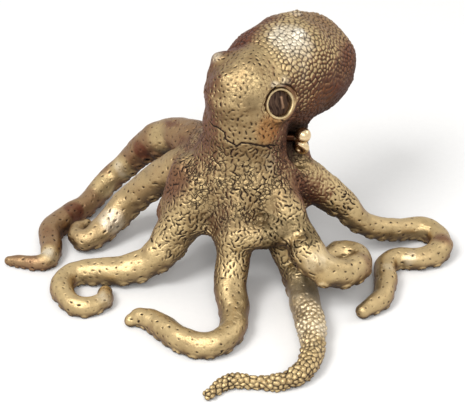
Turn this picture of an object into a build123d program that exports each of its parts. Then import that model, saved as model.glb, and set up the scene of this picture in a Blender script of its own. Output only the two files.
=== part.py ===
from build123d import *
import math
import os

# A small octopus ornament, cast in brass in sections that are pinned and brazed together.
# Millimetres. The figure stands on z = 0, and x and y are zero in the middle of its footprint.
# +X runs to the right of a viewer at the front, +Y away from that viewer, and +Z up.

# Where the neck's axis stands
NECK_X = 2.2
NECK_Y = 3.97

# Crown: the neck and the flared skirt that the arms grow from
SEAM_HEIGHT = 22.0
NECK_RADIUS = 5.7
RIM_RADIUS = 7.9
RIM_HEIGHT = 7.8
RIM_THICKNESS = 0.9
VAULT_RISE = 1.3
VAULT_RADIUS = 4.5
FLARE_SHARES = ((0.3, 0.06), (0.55, 0.25), (0.78, 0.58))
HIP_OUT = 3.0
HIP_HEIGHT = 15.5
HIP_RADIUS = 3.1

# Head and mantle bag: one pear on a short neck, its long axis close to level
HEAD_RISE = 5.3
HEAD_LEAN = 0.1
FACE_OVERHANG = 5.3
MANTLE_LENGTH = 25.2
BAG_RADIUS = 7.4
BAG_BEARING = 50.0
BAG_DROOP = 8.0
MANTLE_SHARES = (
    (0.0, 0.12),
    (0.02, 0.32),
    (0.06, 0.49),
    (0.12, 0.63),
    (0.21, 0.745),
    (0.31, 0.84),
    (0.42, 0.94),
    (0.56, 1.0),
    (0.7, 0.985),
    (0.82, 0.89),
    (0.91, 0.72),
    (0.965, 0.5),
    (0.992, 0.28),
    (1.0, 0.1),
)
NECK_TOP_RADIUS = 5.1
NECK_GAP = 0.15
COLLAR_DEPTH = 5.0

# Eyes: each a dark disc in a raised ring, set in a pocket on a low mound
FACE_BEARING = -123.0
EYE_SIDE = 5.4
EYE_RISE = -0.6
EYE_TURN = 27.0
EYE_TILT = 23.0
MOUND_HEIGHT = 3.0
MOUND_TOP_RADIUS = 2.4
MOUND_FOOT_RADIUS = 3.1
RING_RADIUS = 2.1
RING_BORE_RADIUS = 1.68
RING_HEIGHT = 1.3
RING_ROUND = 0.15
POCKET_DEPTH = 0.9
EYE_CLEARANCE = 0.04
DISC_EDGE = 0.95
DISC_DOME = 0.25
PUPIL_LENGTH = 1.8
PUPIL_WIDTH = 0.4
PUPIL_DEPTH = 0.15
KNOB_RADIUS = 0.62
KNOB_BACK = 2.2
KNOB_OUT = 0.2
KNOB_UP = 2.0

# Siphon: a bead and a rolled funnel lip on one stem, under the mantle on the right
SIPHON_BEARING = -2.0
SIPHON_BELOW_SEAM = 2.2
SIPHON_STEM_RADIUS = 0.7
SIPHON_STEM_LENGTH = 3.4
SIPHON_SEAT_DEPTH = 1.6
SIPHON_CLEARANCE = 0.05
SIPHON_BEAD_RADIUS = 0.95
SIPHON_DROP = 1.95
LIP_RADIUS = 0.62
LIP_ROLL_RADIUS = 0.44
LIP_TILT_SHARE = 0.4

# Pins that hold the castings together
ARM_PIN_RADIUS = 0.6
ARM_PIN_LENGTH = 3.2
NECK_PIN_RADIUS = 1.2
NECK_PIN_LENGTH = 7.0
PIN_CLEARANCE = 0.05
PIN_END_ROOM = 0.2

# Arms: the radius that the thickness shares follow, how high a lying arm's middle stands as a share
# of its radius, and how finely the skin is built
ARM_RADIUS = 2.4
STANCE_SHARE = 0.9
STEPS_PER_SPAN = 3
RUN_TURN = 15.0
TIP_ANGLES = (30, 55, 75)

# Each arm's joint: its bearing round the neck, its distance out and its height, and the arm's reach
FRONT_LEFT_BEARING = -100.2
FRONT_LEFT_OUT = 9.1
FRONT_LEFT_HEIGHT = 5.6
FRONT_LEFT_REACH = 15.0

FRONT_RIGHT_BEARING = -45.4
FRONT_RIGHT_OUT = 9.2
FRONT_RIGHT_HEIGHT = 3.3
FRONT_RIGHT_REACH = 26.0
FRONT_RIGHT_HIP_HEIGHT = 9.6
FRONT_RIGHT_HIP_RADIUS = 2.4

RIGHT_CURL_BEARING = -49.5
RIGHT_CURL_OUT = 10.8
RIGHT_CURL_HEIGHT = 9.3
RIGHT_CURL_REACH = 9.0

RIGHT_BEARING = 3.6
RIGHT_OUT = 11.0
RIGHT_HEIGHT = 10.2
RIGHT_REACH = 17.0

REAR_RIGHT_BEARING = 67.2
REAR_RIGHT_OUT = 10.3
REAR_RIGHT_HEIGHT = 9.4
REAR_RIGHT_REACH = 13.0

REAR_LEFT_BEARING = 133.6
REAR_LEFT_OUT = 15.3
REAR_LEFT_HEIGHT = 12.8
REAR_LEFT_REACH = 26.0

LEFT_BEARING = 158.8
LEFT_OUT = 12.4
LEFT_HEIGHT = 10.3
LEFT_REACH_SHARE = 0.46

LEFT_CURL_BEARING = 204.5
LEFT_CURL_OUT = 10.3
LEFT_CURL_HEIGHT = 7.4
LEFT_CURL_REACH = 18.0
LEFT_CURL_HIP_RADIUS = 3.9

UP = Vector(0, 0, 1)


def compass(bearing):
    """A level unit vector, the bearing counted from +X towards +Y."""
    return Vector(math.cos(math.radians(bearing)), math.sin(math.radians(bearing)), 0)


def spot(outward, height):
    """A place given by its level offset from the neck's axis and its height."""
    return Vector(NECK_X + outward.X, NECK_Y + outward.Y, height)


def between(before, start, end, after, share):
    """Centre, heading and radius on the smooth curve from start to end."""
    leave = (end[0] - before[0]) * 0.5
    arrive = (after[0] - start[0]) * 0.5
    square = share * share
    cube = square * share
    centre = (
        start[0] * (2 * cube - 3 * square + 1)
        + leave * (cube - 2 * square + share)
        + end[0] * (3 * square - 2 * cube)
        + arrive * (cube - square)
    )
    heading = (
        (start[0] - end[0]) * (6 * square - 6 * share)
        + leave * (3 * square - 4 * share + 1)
        + arrive * (3 * square - 2 * share)
    )
    radius = start[1] + (end[1] - start[1]) * (3 * square - 2 * cube)
    return centre, heading.normalized(), radius


def stations(knots):
    """Sections along a limb. The first and last knots only steer it."""
    path = []
    for before, start, end, after in zip(knots, knots[1:], knots[2:], knots[3:]):
        for step in range(STEPS_PER_SPAN):
            path.append(between(before, start, end, after, step / STEPS_PER_SPAN))
    path.append(between(before, start, end, after, 1))
    return path


def rounded_tip(last):
    """Sections that close a limb with a ball end."""
    centre, heading, radius = last
    tip = []
    for angle in TIP_ANGLES:
        forward = heading * (radius * math.sin(math.radians(angle)))
        tip.append((centre + forward, heading, radius * math.cos(math.radians(angle))))
    return tip


def section_plane(centre, heading):
    """The plane square to a limb, its x axis kept level so that the skin does not twist."""
    return Plane(origin=centre, x_dir=heading.cross(UP), z_dir=heading)


def round_limb(sections):
    """A closed limb through round sections, skinned in short runs that each bend only a little."""
    runs = [[sections[0]]]
    for section in sections[1:]:
        runs[-1].append(section)
        if runs[-1][0][1].get_angle(section[1]) > RUN_TURN:
            runs.append([section])
    skin = []
    for run in runs:
        discs = []
        for centre, heading, radius in run:
            with BuildSketch(section_plane(centre, heading)) as disc:
                Circle(radius)
            discs.append(disc.sketch.face())
        if run is runs[0]:
            skin.append(discs[0])
        if len(run) > 1:
            with BuildPart() as stretch:
                loft(discs)
            skin.extend(stretch.faces().filter_by(GeomType.PLANE, reverse=True))
        if run is runs[-1]:
            skin.append(discs[-1])
    return Solid(Shell(skin))


class Arm:
    """One arm: its joint on the crown, and its route from there to the tip.

    Each row of the route is how far right and away it lies, as shares of the reach, how far it
    still hangs above the floor, as a share of the joint's drop, and how thick it is.
    """

    def __init__(self, name, bearing, out, height, reach, joint_share, route_shares, hip_height, hip_radius):
        self.name = name
        self.joint_radius = ARM_RADIUS * joint_share
        joint = spot(compass(bearing) * out, height)
        hip = spot(compass(bearing) * HIP_OUT, hip_height)
        knee = (hip + joint) * 0.5 + (UP + compass(bearing)) * (hip_radius / 8)
        knee_radius = (hip_radius + self.joint_radius) / 2
        drop = height - STANCE_SHARE * self.joint_radius
        self.knots = [(hip, hip_radius), (knee, knee_radius), (joint, self.joint_radius)]
        for right, away, lift, thickness in route_shares:
            radius = ARM_RADIUS * thickness
            level = joint + Vector(right * reach, away * reach, 0)
            centre = Vector(level.X, level.Y, STANCE_SHARE * radius + lift * drop)
            self.knots.append((centre, radius))
        self.joint_plane = section_plane(joint, (self.knots[3][0] - knee).normalized())

    def limb_sections(self):
        """The stump that belongs to the crown, from inside the neck to the joint."""
        first, second = self.knots[0], self.knots[1]
        lead_in = (first[0] * 2 - second[0], first[1])
        return stations([lead_in] + self.knots[:4])

    def arm_sections(self):
        """The arm itself, from the joint to its ball-ended tip."""
        last, before_last = self.knots[-1], self.knots[-2]
        lead_out = (last[0] * 2 - before_last[0], last[1])
        path = stations(self.knots[1:] + [lead_out])
        return path + rounded_tip(path[-1])


ARMS = (
    Arm(
        "arm_front_left", FRONT_LEFT_BEARING, FRONT_LEFT_OUT, FRONT_LEFT_HEIGHT, FRONT_LEFT_REACH, 0.94,
        (
            (-0.03, -0.17, 0.39, 0.9),
            (0.0, -0.4, 0.04, 0.85),
            (-0.02, -0.65, 0.0, 0.77),
            (-0.15, -0.82, 0.0, 0.73),
            (-0.38, -0.81, 0.0, 0.71),
            (-0.57, -0.64, 0.0, 0.67),
            (-0.7, -0.5, 0.0, 0.6),
            (-0.82, -0.43, 0.0, 0.5),
            (-0.9, -0.44, 0.0, 0.36),
        ),
        HIP_HEIGHT,
        HIP_RADIUS,
    ),
    Arm(
        "arm_front_right", FRONT_RIGHT_BEARING, FRONT_RIGHT_OUT, FRONT_RIGHT_HEIGHT, FRONT_RIGHT_REACH, 0.88,
        (
            (0.03, -0.09, 0.55, 0.89),
            (0.05, -0.21, 0.15, 0.87),
            (0.075, -0.4, 0.0, 0.81),
            (0.085, -0.58, 0.0, 0.69),
            (0.04, -0.745, 0.0, 0.62),
            (-0.06, -0.83, 0.0, 0.46),
            (-0.19, -0.83, 0.0, 0.34),
            (-0.335, -0.83, 0.0, 0.42),
            (-0.43, -0.91, 0.0, 0.3),
        ),
        FRONT_RIGHT_HIP_HEIGHT,
        FRONT_RIGHT_HIP_RADIUS,
    ),
    Arm(
        "arm_right_curl", RIGHT_CURL_BEARING, RIGHT_CURL_OUT, RIGHT_CURL_HEIGHT, RIGHT_CURL_REACH, 0.95,
        (
            (0.14, -0.27, 0.855, 0.97),
            (0.33, -0.4, 0.66, 0.92),
            (0.58, -0.38, 0.525, 0.85),
            (0.8, -0.21, 0.44, 0.8),
            (0.94, 0.03, 0.4, 0.74),
            (0.86, 0.22, 0.43, 0.66),
            (0.66, 0.27, 0.47, 0.57),
            (0.48, 0.16, 0.53, 0.44),
        ),
        HIP_HEIGHT,
        HIP_RADIUS,
    ),
    Arm(
        "arm_right", RIGHT_BEARING, RIGHT_OUT, RIGHT_HEIGHT, RIGHT_REACH, 1.02,
        (
            (0.18, 0.01, 0.71, 0.8),
            (0.34, 0.02, 0.38, 0.71),
            (0.565, 0.105, 0.15, 0.65),
            (0.775, 0.2, 0.02, 0.66),
            (0.915, 0.145, 0.0, 0.69),
            (0.965, 0.0, 0.0, 0.7),
            (0.9, -0.145, 0.0, 0.69),
            (0.765, -0.2, 0.0, 0.65),
            (0.6, -0.18, 0.0, 0.6),
            (0.49, -0.29, 0.0, 0.62),
            (0.475, -0.53, 0.0, 0.62),
            (0.42, -0.73, 0.0, 0.56),
            (0.275, -0.86, 0.0, 0.46),
        ),
        HIP_HEIGHT,
        HIP_RADIUS,
    ),
    Arm(
        "arm_rear_right", REAR_RIGHT_BEARING, REAR_RIGHT_OUT, REAR_RIGHT_HEIGHT, REAR_RIGHT_REACH, 1.0,
        (
            (0.07, 0.21, 0.64, 0.92),
            (0.11, 0.43, 0.32, 0.85),
            (0.07, 0.67, 0.07, 0.79),
            (-0.09, 0.86, 0.0, 0.73),
            (-0.34, 0.91, 0.0, 0.67),
            (-0.56, 0.78, 0.0, 0.58),
            (-0.6, 0.57, 0.0, 0.48),
            (-0.47, 0.43, 0.0, 0.36),
        ),
        HIP_HEIGHT,
        HIP_RADIUS,
    ),
    Arm(
        "arm_rear_left", REAR_LEFT_BEARING, REAR_LEFT_OUT, REAR_LEFT_HEIGHT, REAR_LEFT_REACH, 1.06,
        (
            (-0.115, 0.07, 0.77, 0.96),
            (-0.22, 0.115, 0.47, 0.84),
            (-0.31, 0.125, 0.23, 0.74),
            (-0.39, 0.065, 0.1, 0.72),
            (-0.465, -0.045, 0.03, 0.7),
            (-0.565, -0.145, 0.0, 0.69),
            (-0.65, -0.28, 0.0, 0.67),
            (-0.635, -0.425, 0.0, 0.63),
            (-0.64, -0.515, 0.0, 0.52),
            (-0.7, -0.545, 0.0, 0.44),
            (-0.785, -0.525, 0.0, 0.37),
            (-0.855, -0.51, 0.0, 0.28),
        ),
        HIP_HEIGHT,
        HIP_RADIUS,
    ),
    Arm(
        "arm_left", LEFT_BEARING, LEFT_OUT, LEFT_HEIGHT, LEFT_REACH_SHARE * REAR_LEFT_REACH, 1.0,
        (
            (-0.25, 0.07, 0.63, 0.92),
            (-0.475, 0.045, 0.31, 0.87),
            (-0.69, -0.14, 0.11, 0.77),
            (-0.87, -0.27, 0.05, 0.67),
            (-0.99, -0.21, 0.06, 0.56),
            (-1.01, -0.05, 0.07, 0.47),
            (-0.92, 0.05, 0.09, 0.37),
        ),
        HIP_HEIGHT,
        HIP_RADIUS,
    ),
    Arm(
        "arm_left_curl", LEFT_CURL_BEARING, LEFT_CURL_OUT, LEFT_CURL_HEIGHT, LEFT_CURL_REACH, 1.2,
        (
            (-0.11, -0.08, 0.57, 1.0),
            (-0.24, -0.11, 0.27, 0.88),
            (-0.43, -0.12, 0.09, 0.79),
            (-0.62, -0.095, 0.04, 0.73),
            (-0.78, -0.105, 0.0, 0.69),
            (-0.86, -0.235, 0.0, 0.65),
            (-0.81, -0.41, 0.0, 0.6),
            (-0.67, -0.49, 0.0, 0.56),
            (-0.545, -0.425, 0.0, 0.52),
            (-0.53, -0.305, 0.0, 0.44),
        ),
        HIP_HEIGHT,
        LEFT_CURL_HIP_RADIUS,
    ),
)

neck_foot = spot(Vector(0, 0, 0), 0)
seam_plane = Plane(origin=neck_foot + UP * SEAM_HEIGHT)
siphon_way = compass(SIPHON_BEARING)
siphon_root = spot(siphon_way * NECK_RADIUS, SEAM_HEIGHT - SIPHON_BELOW_SEAM)
siphon_plane = Plane(origin=siphon_root, x_dir=siphon_way.cross(UP), z_dir=siphon_way)
bead_centre = siphon_root + siphon_way * (SIPHON_STEM_LENGTH - SIPHON_SEAT_DEPTH)

# Crown: a bell with a coned hollow under it and eight round stumps, bored for the pins and for the
# siphon's stem
flare_depth = SEAM_HEIGHT - RIM_HEIGHT
flare_points = [(NECK_RADIUS, SEAM_HEIGHT)]
for depth_share, flare_share in FLARE_SHARES:
    flare_radius = NECK_RADIUS + flare_share * (RIM_RADIUS - NECK_RADIUS)
    flare_points.append((flare_radius, SEAM_HEIGHT - depth_share * flare_depth))
flare_points.append((RIM_RADIUS, RIM_HEIGHT + RIM_THICKNESS))

stumps = [round_limb(arm.limb_sections()) for arm in ARMS]

with BuildPart() as crown:
    with BuildSketch(Plane(origin=neck_foot, x_dir=(1, 0, 0), z_dir=(0, -1, 0))):
        with BuildLine():
            Line((0, SEAM_HEIGHT), flare_points[0])
            Spline(*flare_points)
            ThreePointArc(
                flare_points[-1],
                (RIM_RADIUS - RIM_THICKNESS / 4, RIM_HEIGHT + RIM_THICKNESS / 4),
                (RIM_RADIUS - RIM_THICKNESS, RIM_HEIGHT),
            )
            Line((RIM_RADIUS - RIM_THICKNESS, RIM_HEIGHT), (VAULT_RADIUS, RIM_HEIGHT + VAULT_RISE))
            Line((VAULT_RADIUS, RIM_HEIGHT + VAULT_RISE), (0, RIM_HEIGHT + VAULT_RISE))
            Line((0, RIM_HEIGHT + VAULT_RISE), (0, SEAM_HEIGHT))
        make_face()
    revolve(axis=Axis(neck_foot, UP))
    for stump in stumps:
        add(stump)
    for arm in ARMS:
        with BuildSketch(arm.joint_plane):
            Circle(ARM_PIN_RADIUS + PIN_CLEARANCE)
        extrude(amount=-(ARM_PIN_LENGTH / 2 + PIN_END_ROOM), mode=Mode.SUBTRACT)
    with BuildSketch(seam_plane):
        Circle(NECK_PIN_RADIUS + PIN_CLEARANCE)
    extrude(amount=-(NECK_PIN_LENGTH / 2 + PIN_END_ROOM), mode=Mode.SUBTRACT)
    with BuildSketch(siphon_plane):
        Circle(SIPHON_STEM_RADIUS + SIPHON_CLEARANCE)
    extrude(amount=-SIPHON_SEAT_DEPTH, mode=Mode.SUBTRACT)
    with BuildSketch(siphon_plane):
        Circle(SIPHON_STEM_RADIUS + SIPHON_CLEARANCE)
    extrude(amount=NECK_RADIUS, mode=Mode.SUBTRACT)
crown.part.label = "crown"


def make_arm(arm):
    """One arm, dressed flat where it lies on the floor and bored for its pin."""
    limb = round_limb(arm.arm_sections())
    with BuildPart() as piece:
        add(limb)
        split(bisect_by=Plane.XY, keep=Keep.TOP)
        with BuildSketch(arm.joint_plane):
            Circle(ARM_PIN_RADIUS + PIN_CLEARANCE)
        extrude(amount=ARM_PIN_LENGTH / 2 + PIN_END_ROOM, mode=Mode.SUBTRACT)
    piece.part.label = arm.name
    return piece.part


# Pins: one across each arm's joint, and a stout one up through the neck's seam
with BuildPart() as arm_pins:
    for arm in ARMS:
        with BuildSketch(arm.joint_plane):
            Circle(ARM_PIN_RADIUS)
        extrude(amount=ARM_PIN_LENGTH / 2, both=True)
arm_pins.part.label = "arm_pins"

with BuildPart() as neck_pin:
    with BuildSketch(seam_plane):
        Circle(NECK_PIN_RADIUS)
    extrude(amount=NECK_PIN_LENGTH / 2, both=True)
neck_pin.part.label = "neck_pin"

# The eyes' places on the head
face_way = compass(FACE_BEARING)
right_way = UP.cross(face_way)
head_centre = spot(Vector(-HEAD_LEAN, 0, 0), SEAM_HEIGHT + HEAD_RISE)


def eye_plane(side):
    """The plane of one eye's rim: side is 1 on the viewer's right and -1 on the left."""
    outward = right_way * side
    level = outward * math.cos(math.radians(EYE_TURN)) + face_way * math.sin(math.radians(EYE_TURN))
    normal = level * math.cos(math.radians(EYE_TILT)) + UP * math.sin(math.radians(EYE_TILT))
    centre = head_centre + outward * EYE_SIDE + UP * EYE_RISE
    return Plane(origin=centre, x_dir=UP.cross(normal), z_dir=normal)


def knob_plane(side):
    """The knob that stands behind and above one eye, its axis square to the eye."""
    eye = eye_plane(side)
    centre = eye.origin + right_way * (side * KNOB_OUT) - face_way * KNOB_BACK + UP * KNOB_UP
    return Plane(origin=centre, x_dir=eye.x_dir, z_dir=eye.z_dir)


EYE_SIDES = (("left", -1), ("right", 1))

# Mantle: the pear, the neck it stands on, the eye mounds and the brow knobs
bag_level = compass(BAG_BEARING)
bag_way = bag_level * math.cos(math.radians(BAG_DROOP)) - UP * math.sin(math.radians(BAG_DROOP))

pear_sections = []
for along_share, radius_share in MANTLE_SHARES:
    along = bag_way * (along_share * MANTLE_LENGTH - FACE_OVERHANG)
    pear_sections.append((head_centre + along, bag_way, radius_share * BAG_RADIUS))
pear = round_limb(pear_sections)

with BuildPart() as mantle:
    add(pear)
    with BuildSketch(seam_plane):
        Circle(NECK_RADIUS)
    with BuildSketch(Plane(origin=head_centre)):
        Circle(NECK_TOP_RADIUS)
    loft()
    for name, side in EYE_SIDES:
        mound_top = eye_plane(side)
        with BuildSketch(mound_top.offset(-MOUND_HEIGHT)):
            Circle(MOUND_FOOT_RADIUS)
        with BuildSketch(mound_top):
            Circle(MOUND_TOP_RADIUS)
        loft()
        with Locations(knob_plane(side)):
            Sphere(KNOB_RADIUS)
    with BuildSketch(seam_plane):
        Circle(NECK_RADIUS + NECK_GAP)
    extrude(amount=-COLLAR_DEPTH, mode=Mode.SUBTRACT)
    for name, side in EYE_SIDES:
        with BuildSketch(eye_plane(side).offset(-POCKET_DEPTH)):
            Circle(RING_RADIUS + EYE_CLEARANCE)
        extrude(amount=MOUND_HEIGHT, mode=Mode.SUBTRACT)
    with BuildSketch(seam_plane):
        Circle(NECK_PIN_RADIUS + PIN_CLEARANCE)
    extrude(amount=NECK_PIN_LENGTH / 2 + PIN_END_ROOM, mode=Mode.SUBTRACT)
    with Locations(bead_centre):
        Sphere(SIPHON_BEAD_RADIUS + SIPHON_CLEARANCE, mode=Mode.SUBTRACT)
mantle.part.label = "mantle"


def make_ring(name, side):
    """The raised ring round one eye, seated on the floor of its pocket."""
    floor = eye_plane(side).offset(-POCKET_DEPTH)
    with BuildPart() as ring:
        with BuildSketch(floor):
            Circle(RING_RADIUS)
            Circle(RING_BORE_RADIUS, mode=Mode.SUBTRACT)
        extrude(amount=RING_HEIGHT)
        fillet(ring.faces().sort_by(Axis(floor.origin, floor.z_dir))[-1].edges(), radius=RING_ROUND)
    ring.part.label = "eye_ring_" + name
    return ring.part


def make_eye(name, side):
    """The domed disc of one eye, with an upright slit pupil."""
    floor = eye_plane(side).offset(-POCKET_DEPTH)
    disc_radius = RING_BORE_RADIUS - EYE_CLEARANCE
    with BuildPart() as eye:
        with BuildSketch(Plane(origin=floor.origin, x_dir=floor.x_dir, z_dir=floor.y_dir * -1)):
            with BuildLine():
                Line((0, 0), (disc_radius, 0))
                Line((disc_radius, 0), (disc_radius, DISC_EDGE))
                ThreePointArc(
                    (disc_radius, DISC_EDGE),
                    (disc_radius / 2, DISC_EDGE + DISC_DOME * 0.75),
                    (0, DISC_EDGE + DISC_DOME),
                )
                Line((0, DISC_EDGE + DISC_DOME), (0, 0))
            make_face()
        revolve(axis=Axis(floor.origin, floor.z_dir))
        with BuildSketch(floor.offset(DISC_EDGE + DISC_DOME)):
            SlotOverall(PUPIL_LENGTH, PUPIL_WIDTH, rotation=90)
        extrude(amount=-PUPIL_DEPTH, mode=Mode.SUBTRACT)
    eye.part.label = "eye_" + name
    return eye.part


# Siphon: the stem, the bead on it, and the rolled lip of the funnel hanging below
lip_centre = bead_centre - UP * SIPHON_DROP
lip_way = (siphon_way - UP * LIP_TILT_SHARE).normalized()

with BuildPart() as siphon:
    with BuildSketch(siphon_plane.offset(-SIPHON_SEAT_DEPTH)):
        Circle(SIPHON_STEM_RADIUS)
    extrude(amount=SIPHON_STEM_LENGTH)
    with Locations(bead_centre):
        Sphere(SIPHON_BEAD_RADIUS)
    with Locations(Plane(origin=lip_centre, z_dir=lip_way)):
        Torus(LIP_RADIUS, LIP_ROLL_RADIUS)
    with BuildSketch(Plane(origin=lip_centre)):
        Circle(LIP_RADIUS)
    extrude(amount=SIPHON_DROP)
siphon.part.label = "siphon"

pieces = [crown.part, mantle.part, siphon.part, arm_pins.part, neck_pin.part]
for arm in ARMS:
    pieces.append(make_arm(arm))
for name, side in EYE_SIDES:
    pieces.append(make_ring(name, side))
    pieces.append(make_eye(name, side))

os.makedirs("parts", exist_ok=True)
for piece in pieces:
    export_step(piece, "parts/" + piece.label + ".step")

figure_box = Compound(children=pieces).bounding_box()
print("box", figure_box.min, figure_box.max, figure_box.size)
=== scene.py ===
import itertools
import math

import bmesh
import bpy
import numpy as np
import openvdb
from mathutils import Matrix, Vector
from mathutils.kdtree import KDTree


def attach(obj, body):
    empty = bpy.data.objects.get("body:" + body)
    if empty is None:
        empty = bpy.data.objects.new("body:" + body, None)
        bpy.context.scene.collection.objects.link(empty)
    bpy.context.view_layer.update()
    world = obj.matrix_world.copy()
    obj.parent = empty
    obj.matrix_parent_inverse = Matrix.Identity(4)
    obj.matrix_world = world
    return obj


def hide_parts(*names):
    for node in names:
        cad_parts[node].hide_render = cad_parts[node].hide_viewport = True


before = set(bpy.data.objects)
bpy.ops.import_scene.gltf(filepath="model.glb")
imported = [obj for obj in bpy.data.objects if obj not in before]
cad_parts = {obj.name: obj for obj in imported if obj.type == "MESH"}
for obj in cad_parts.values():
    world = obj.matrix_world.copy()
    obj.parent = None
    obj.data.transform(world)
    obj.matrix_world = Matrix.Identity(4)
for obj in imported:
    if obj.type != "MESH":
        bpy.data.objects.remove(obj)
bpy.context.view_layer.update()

# Camera
# A long lens, set back and looking down at the front of the figure, so that near and far arms keep their
# true sizes. It is aimed at the foot of the neck. Lengths are in mm here, and MM turns them to metres.
MM = 0.001
NECK = np.array((2.2, 3.97, 0.0))
LOOK_DOWN = 35.0
CAMERA_AWAY = 250.0
MM_PER_PIXEL = 0.14
PHOTO_SIZE = (465, 409)
NECK_FOOT_PIXEL = (245.0, 255.0)

focal_pixels = CAMERA_AWAY / MM_PER_PIXEL
down = math.radians(LOOK_DOWN)
forward = np.array((0.0, math.cos(down), -math.sin(down)))
upward = np.array((0.0, math.sin(down), math.cos(down)))
to_foot = (
    forward
    + (NECK_FOOT_PIXEL[0] - PHOTO_SIZE[0] / 2) / focal_pixels * np.array((1.0, 0.0, 0.0))
    - (NECK_FOOT_PIXEL[1] - PHOTO_SIZE[1] / 2) / focal_pixels * upward
)
camera_data = bpy.data.cameras.new("camera")
camera_data.sensor_width = 36.0
camera_data.lens = 36.0 * focal_pixels / PHOTO_SIZE[0]
camera_data.clip_start = 0.01
camera_data.clip_end = 10.0
camera = bpy.data.objects.new("camera", camera_data)
camera.location = (NECK - to_foot * CAMERA_AWAY) * MM
camera.rotation_euler = (math.pi / 2 - down, 0.0, 0.0)
bpy.context.scene.collection.objects.link(camera)
bpy.context.scene.camera = camera

# Casting: the crown with its stumps, and the eight arms
# One brass casting to the eye, though it was poured in sections. The limbs grow out of the bell with
# webs between their roots, and thin out towards the tips.
STEP = 0.12
FAR = 3.5
SPAN_STEPS = 10
SEAM_HEIGHT = 22.0
WEB = 2.4
WEB_INNER = 8.5
WEB_OUTER = 12.5
LIMB_WEB = 0.08
SKIRT_WEB = 1.0
SOLE_LEVEL = 0.0
BELOW_FLOOR = 0.36
STUMP_FADE = 1.5
JOINT_MARGIN = 2.5
TIP_MARGIN = 1.0
TABLE_STEP = 0.05

BELL_PROFILE = (
    (0.0, 27.5),
    (4.9, 27.3),
    (5.3, 24.5),
    (5.7, 22.0),
    (5.72, 19.5),
    (5.84, 17.7),
    (6.25, 14.2),
    (6.98, 10.9),
    (7.9, 8.7),
    (7.75, 8.1),
    (7.0, 7.8),
    (4.5, 9.1),
    (0.0, 9.1),
)

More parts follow.
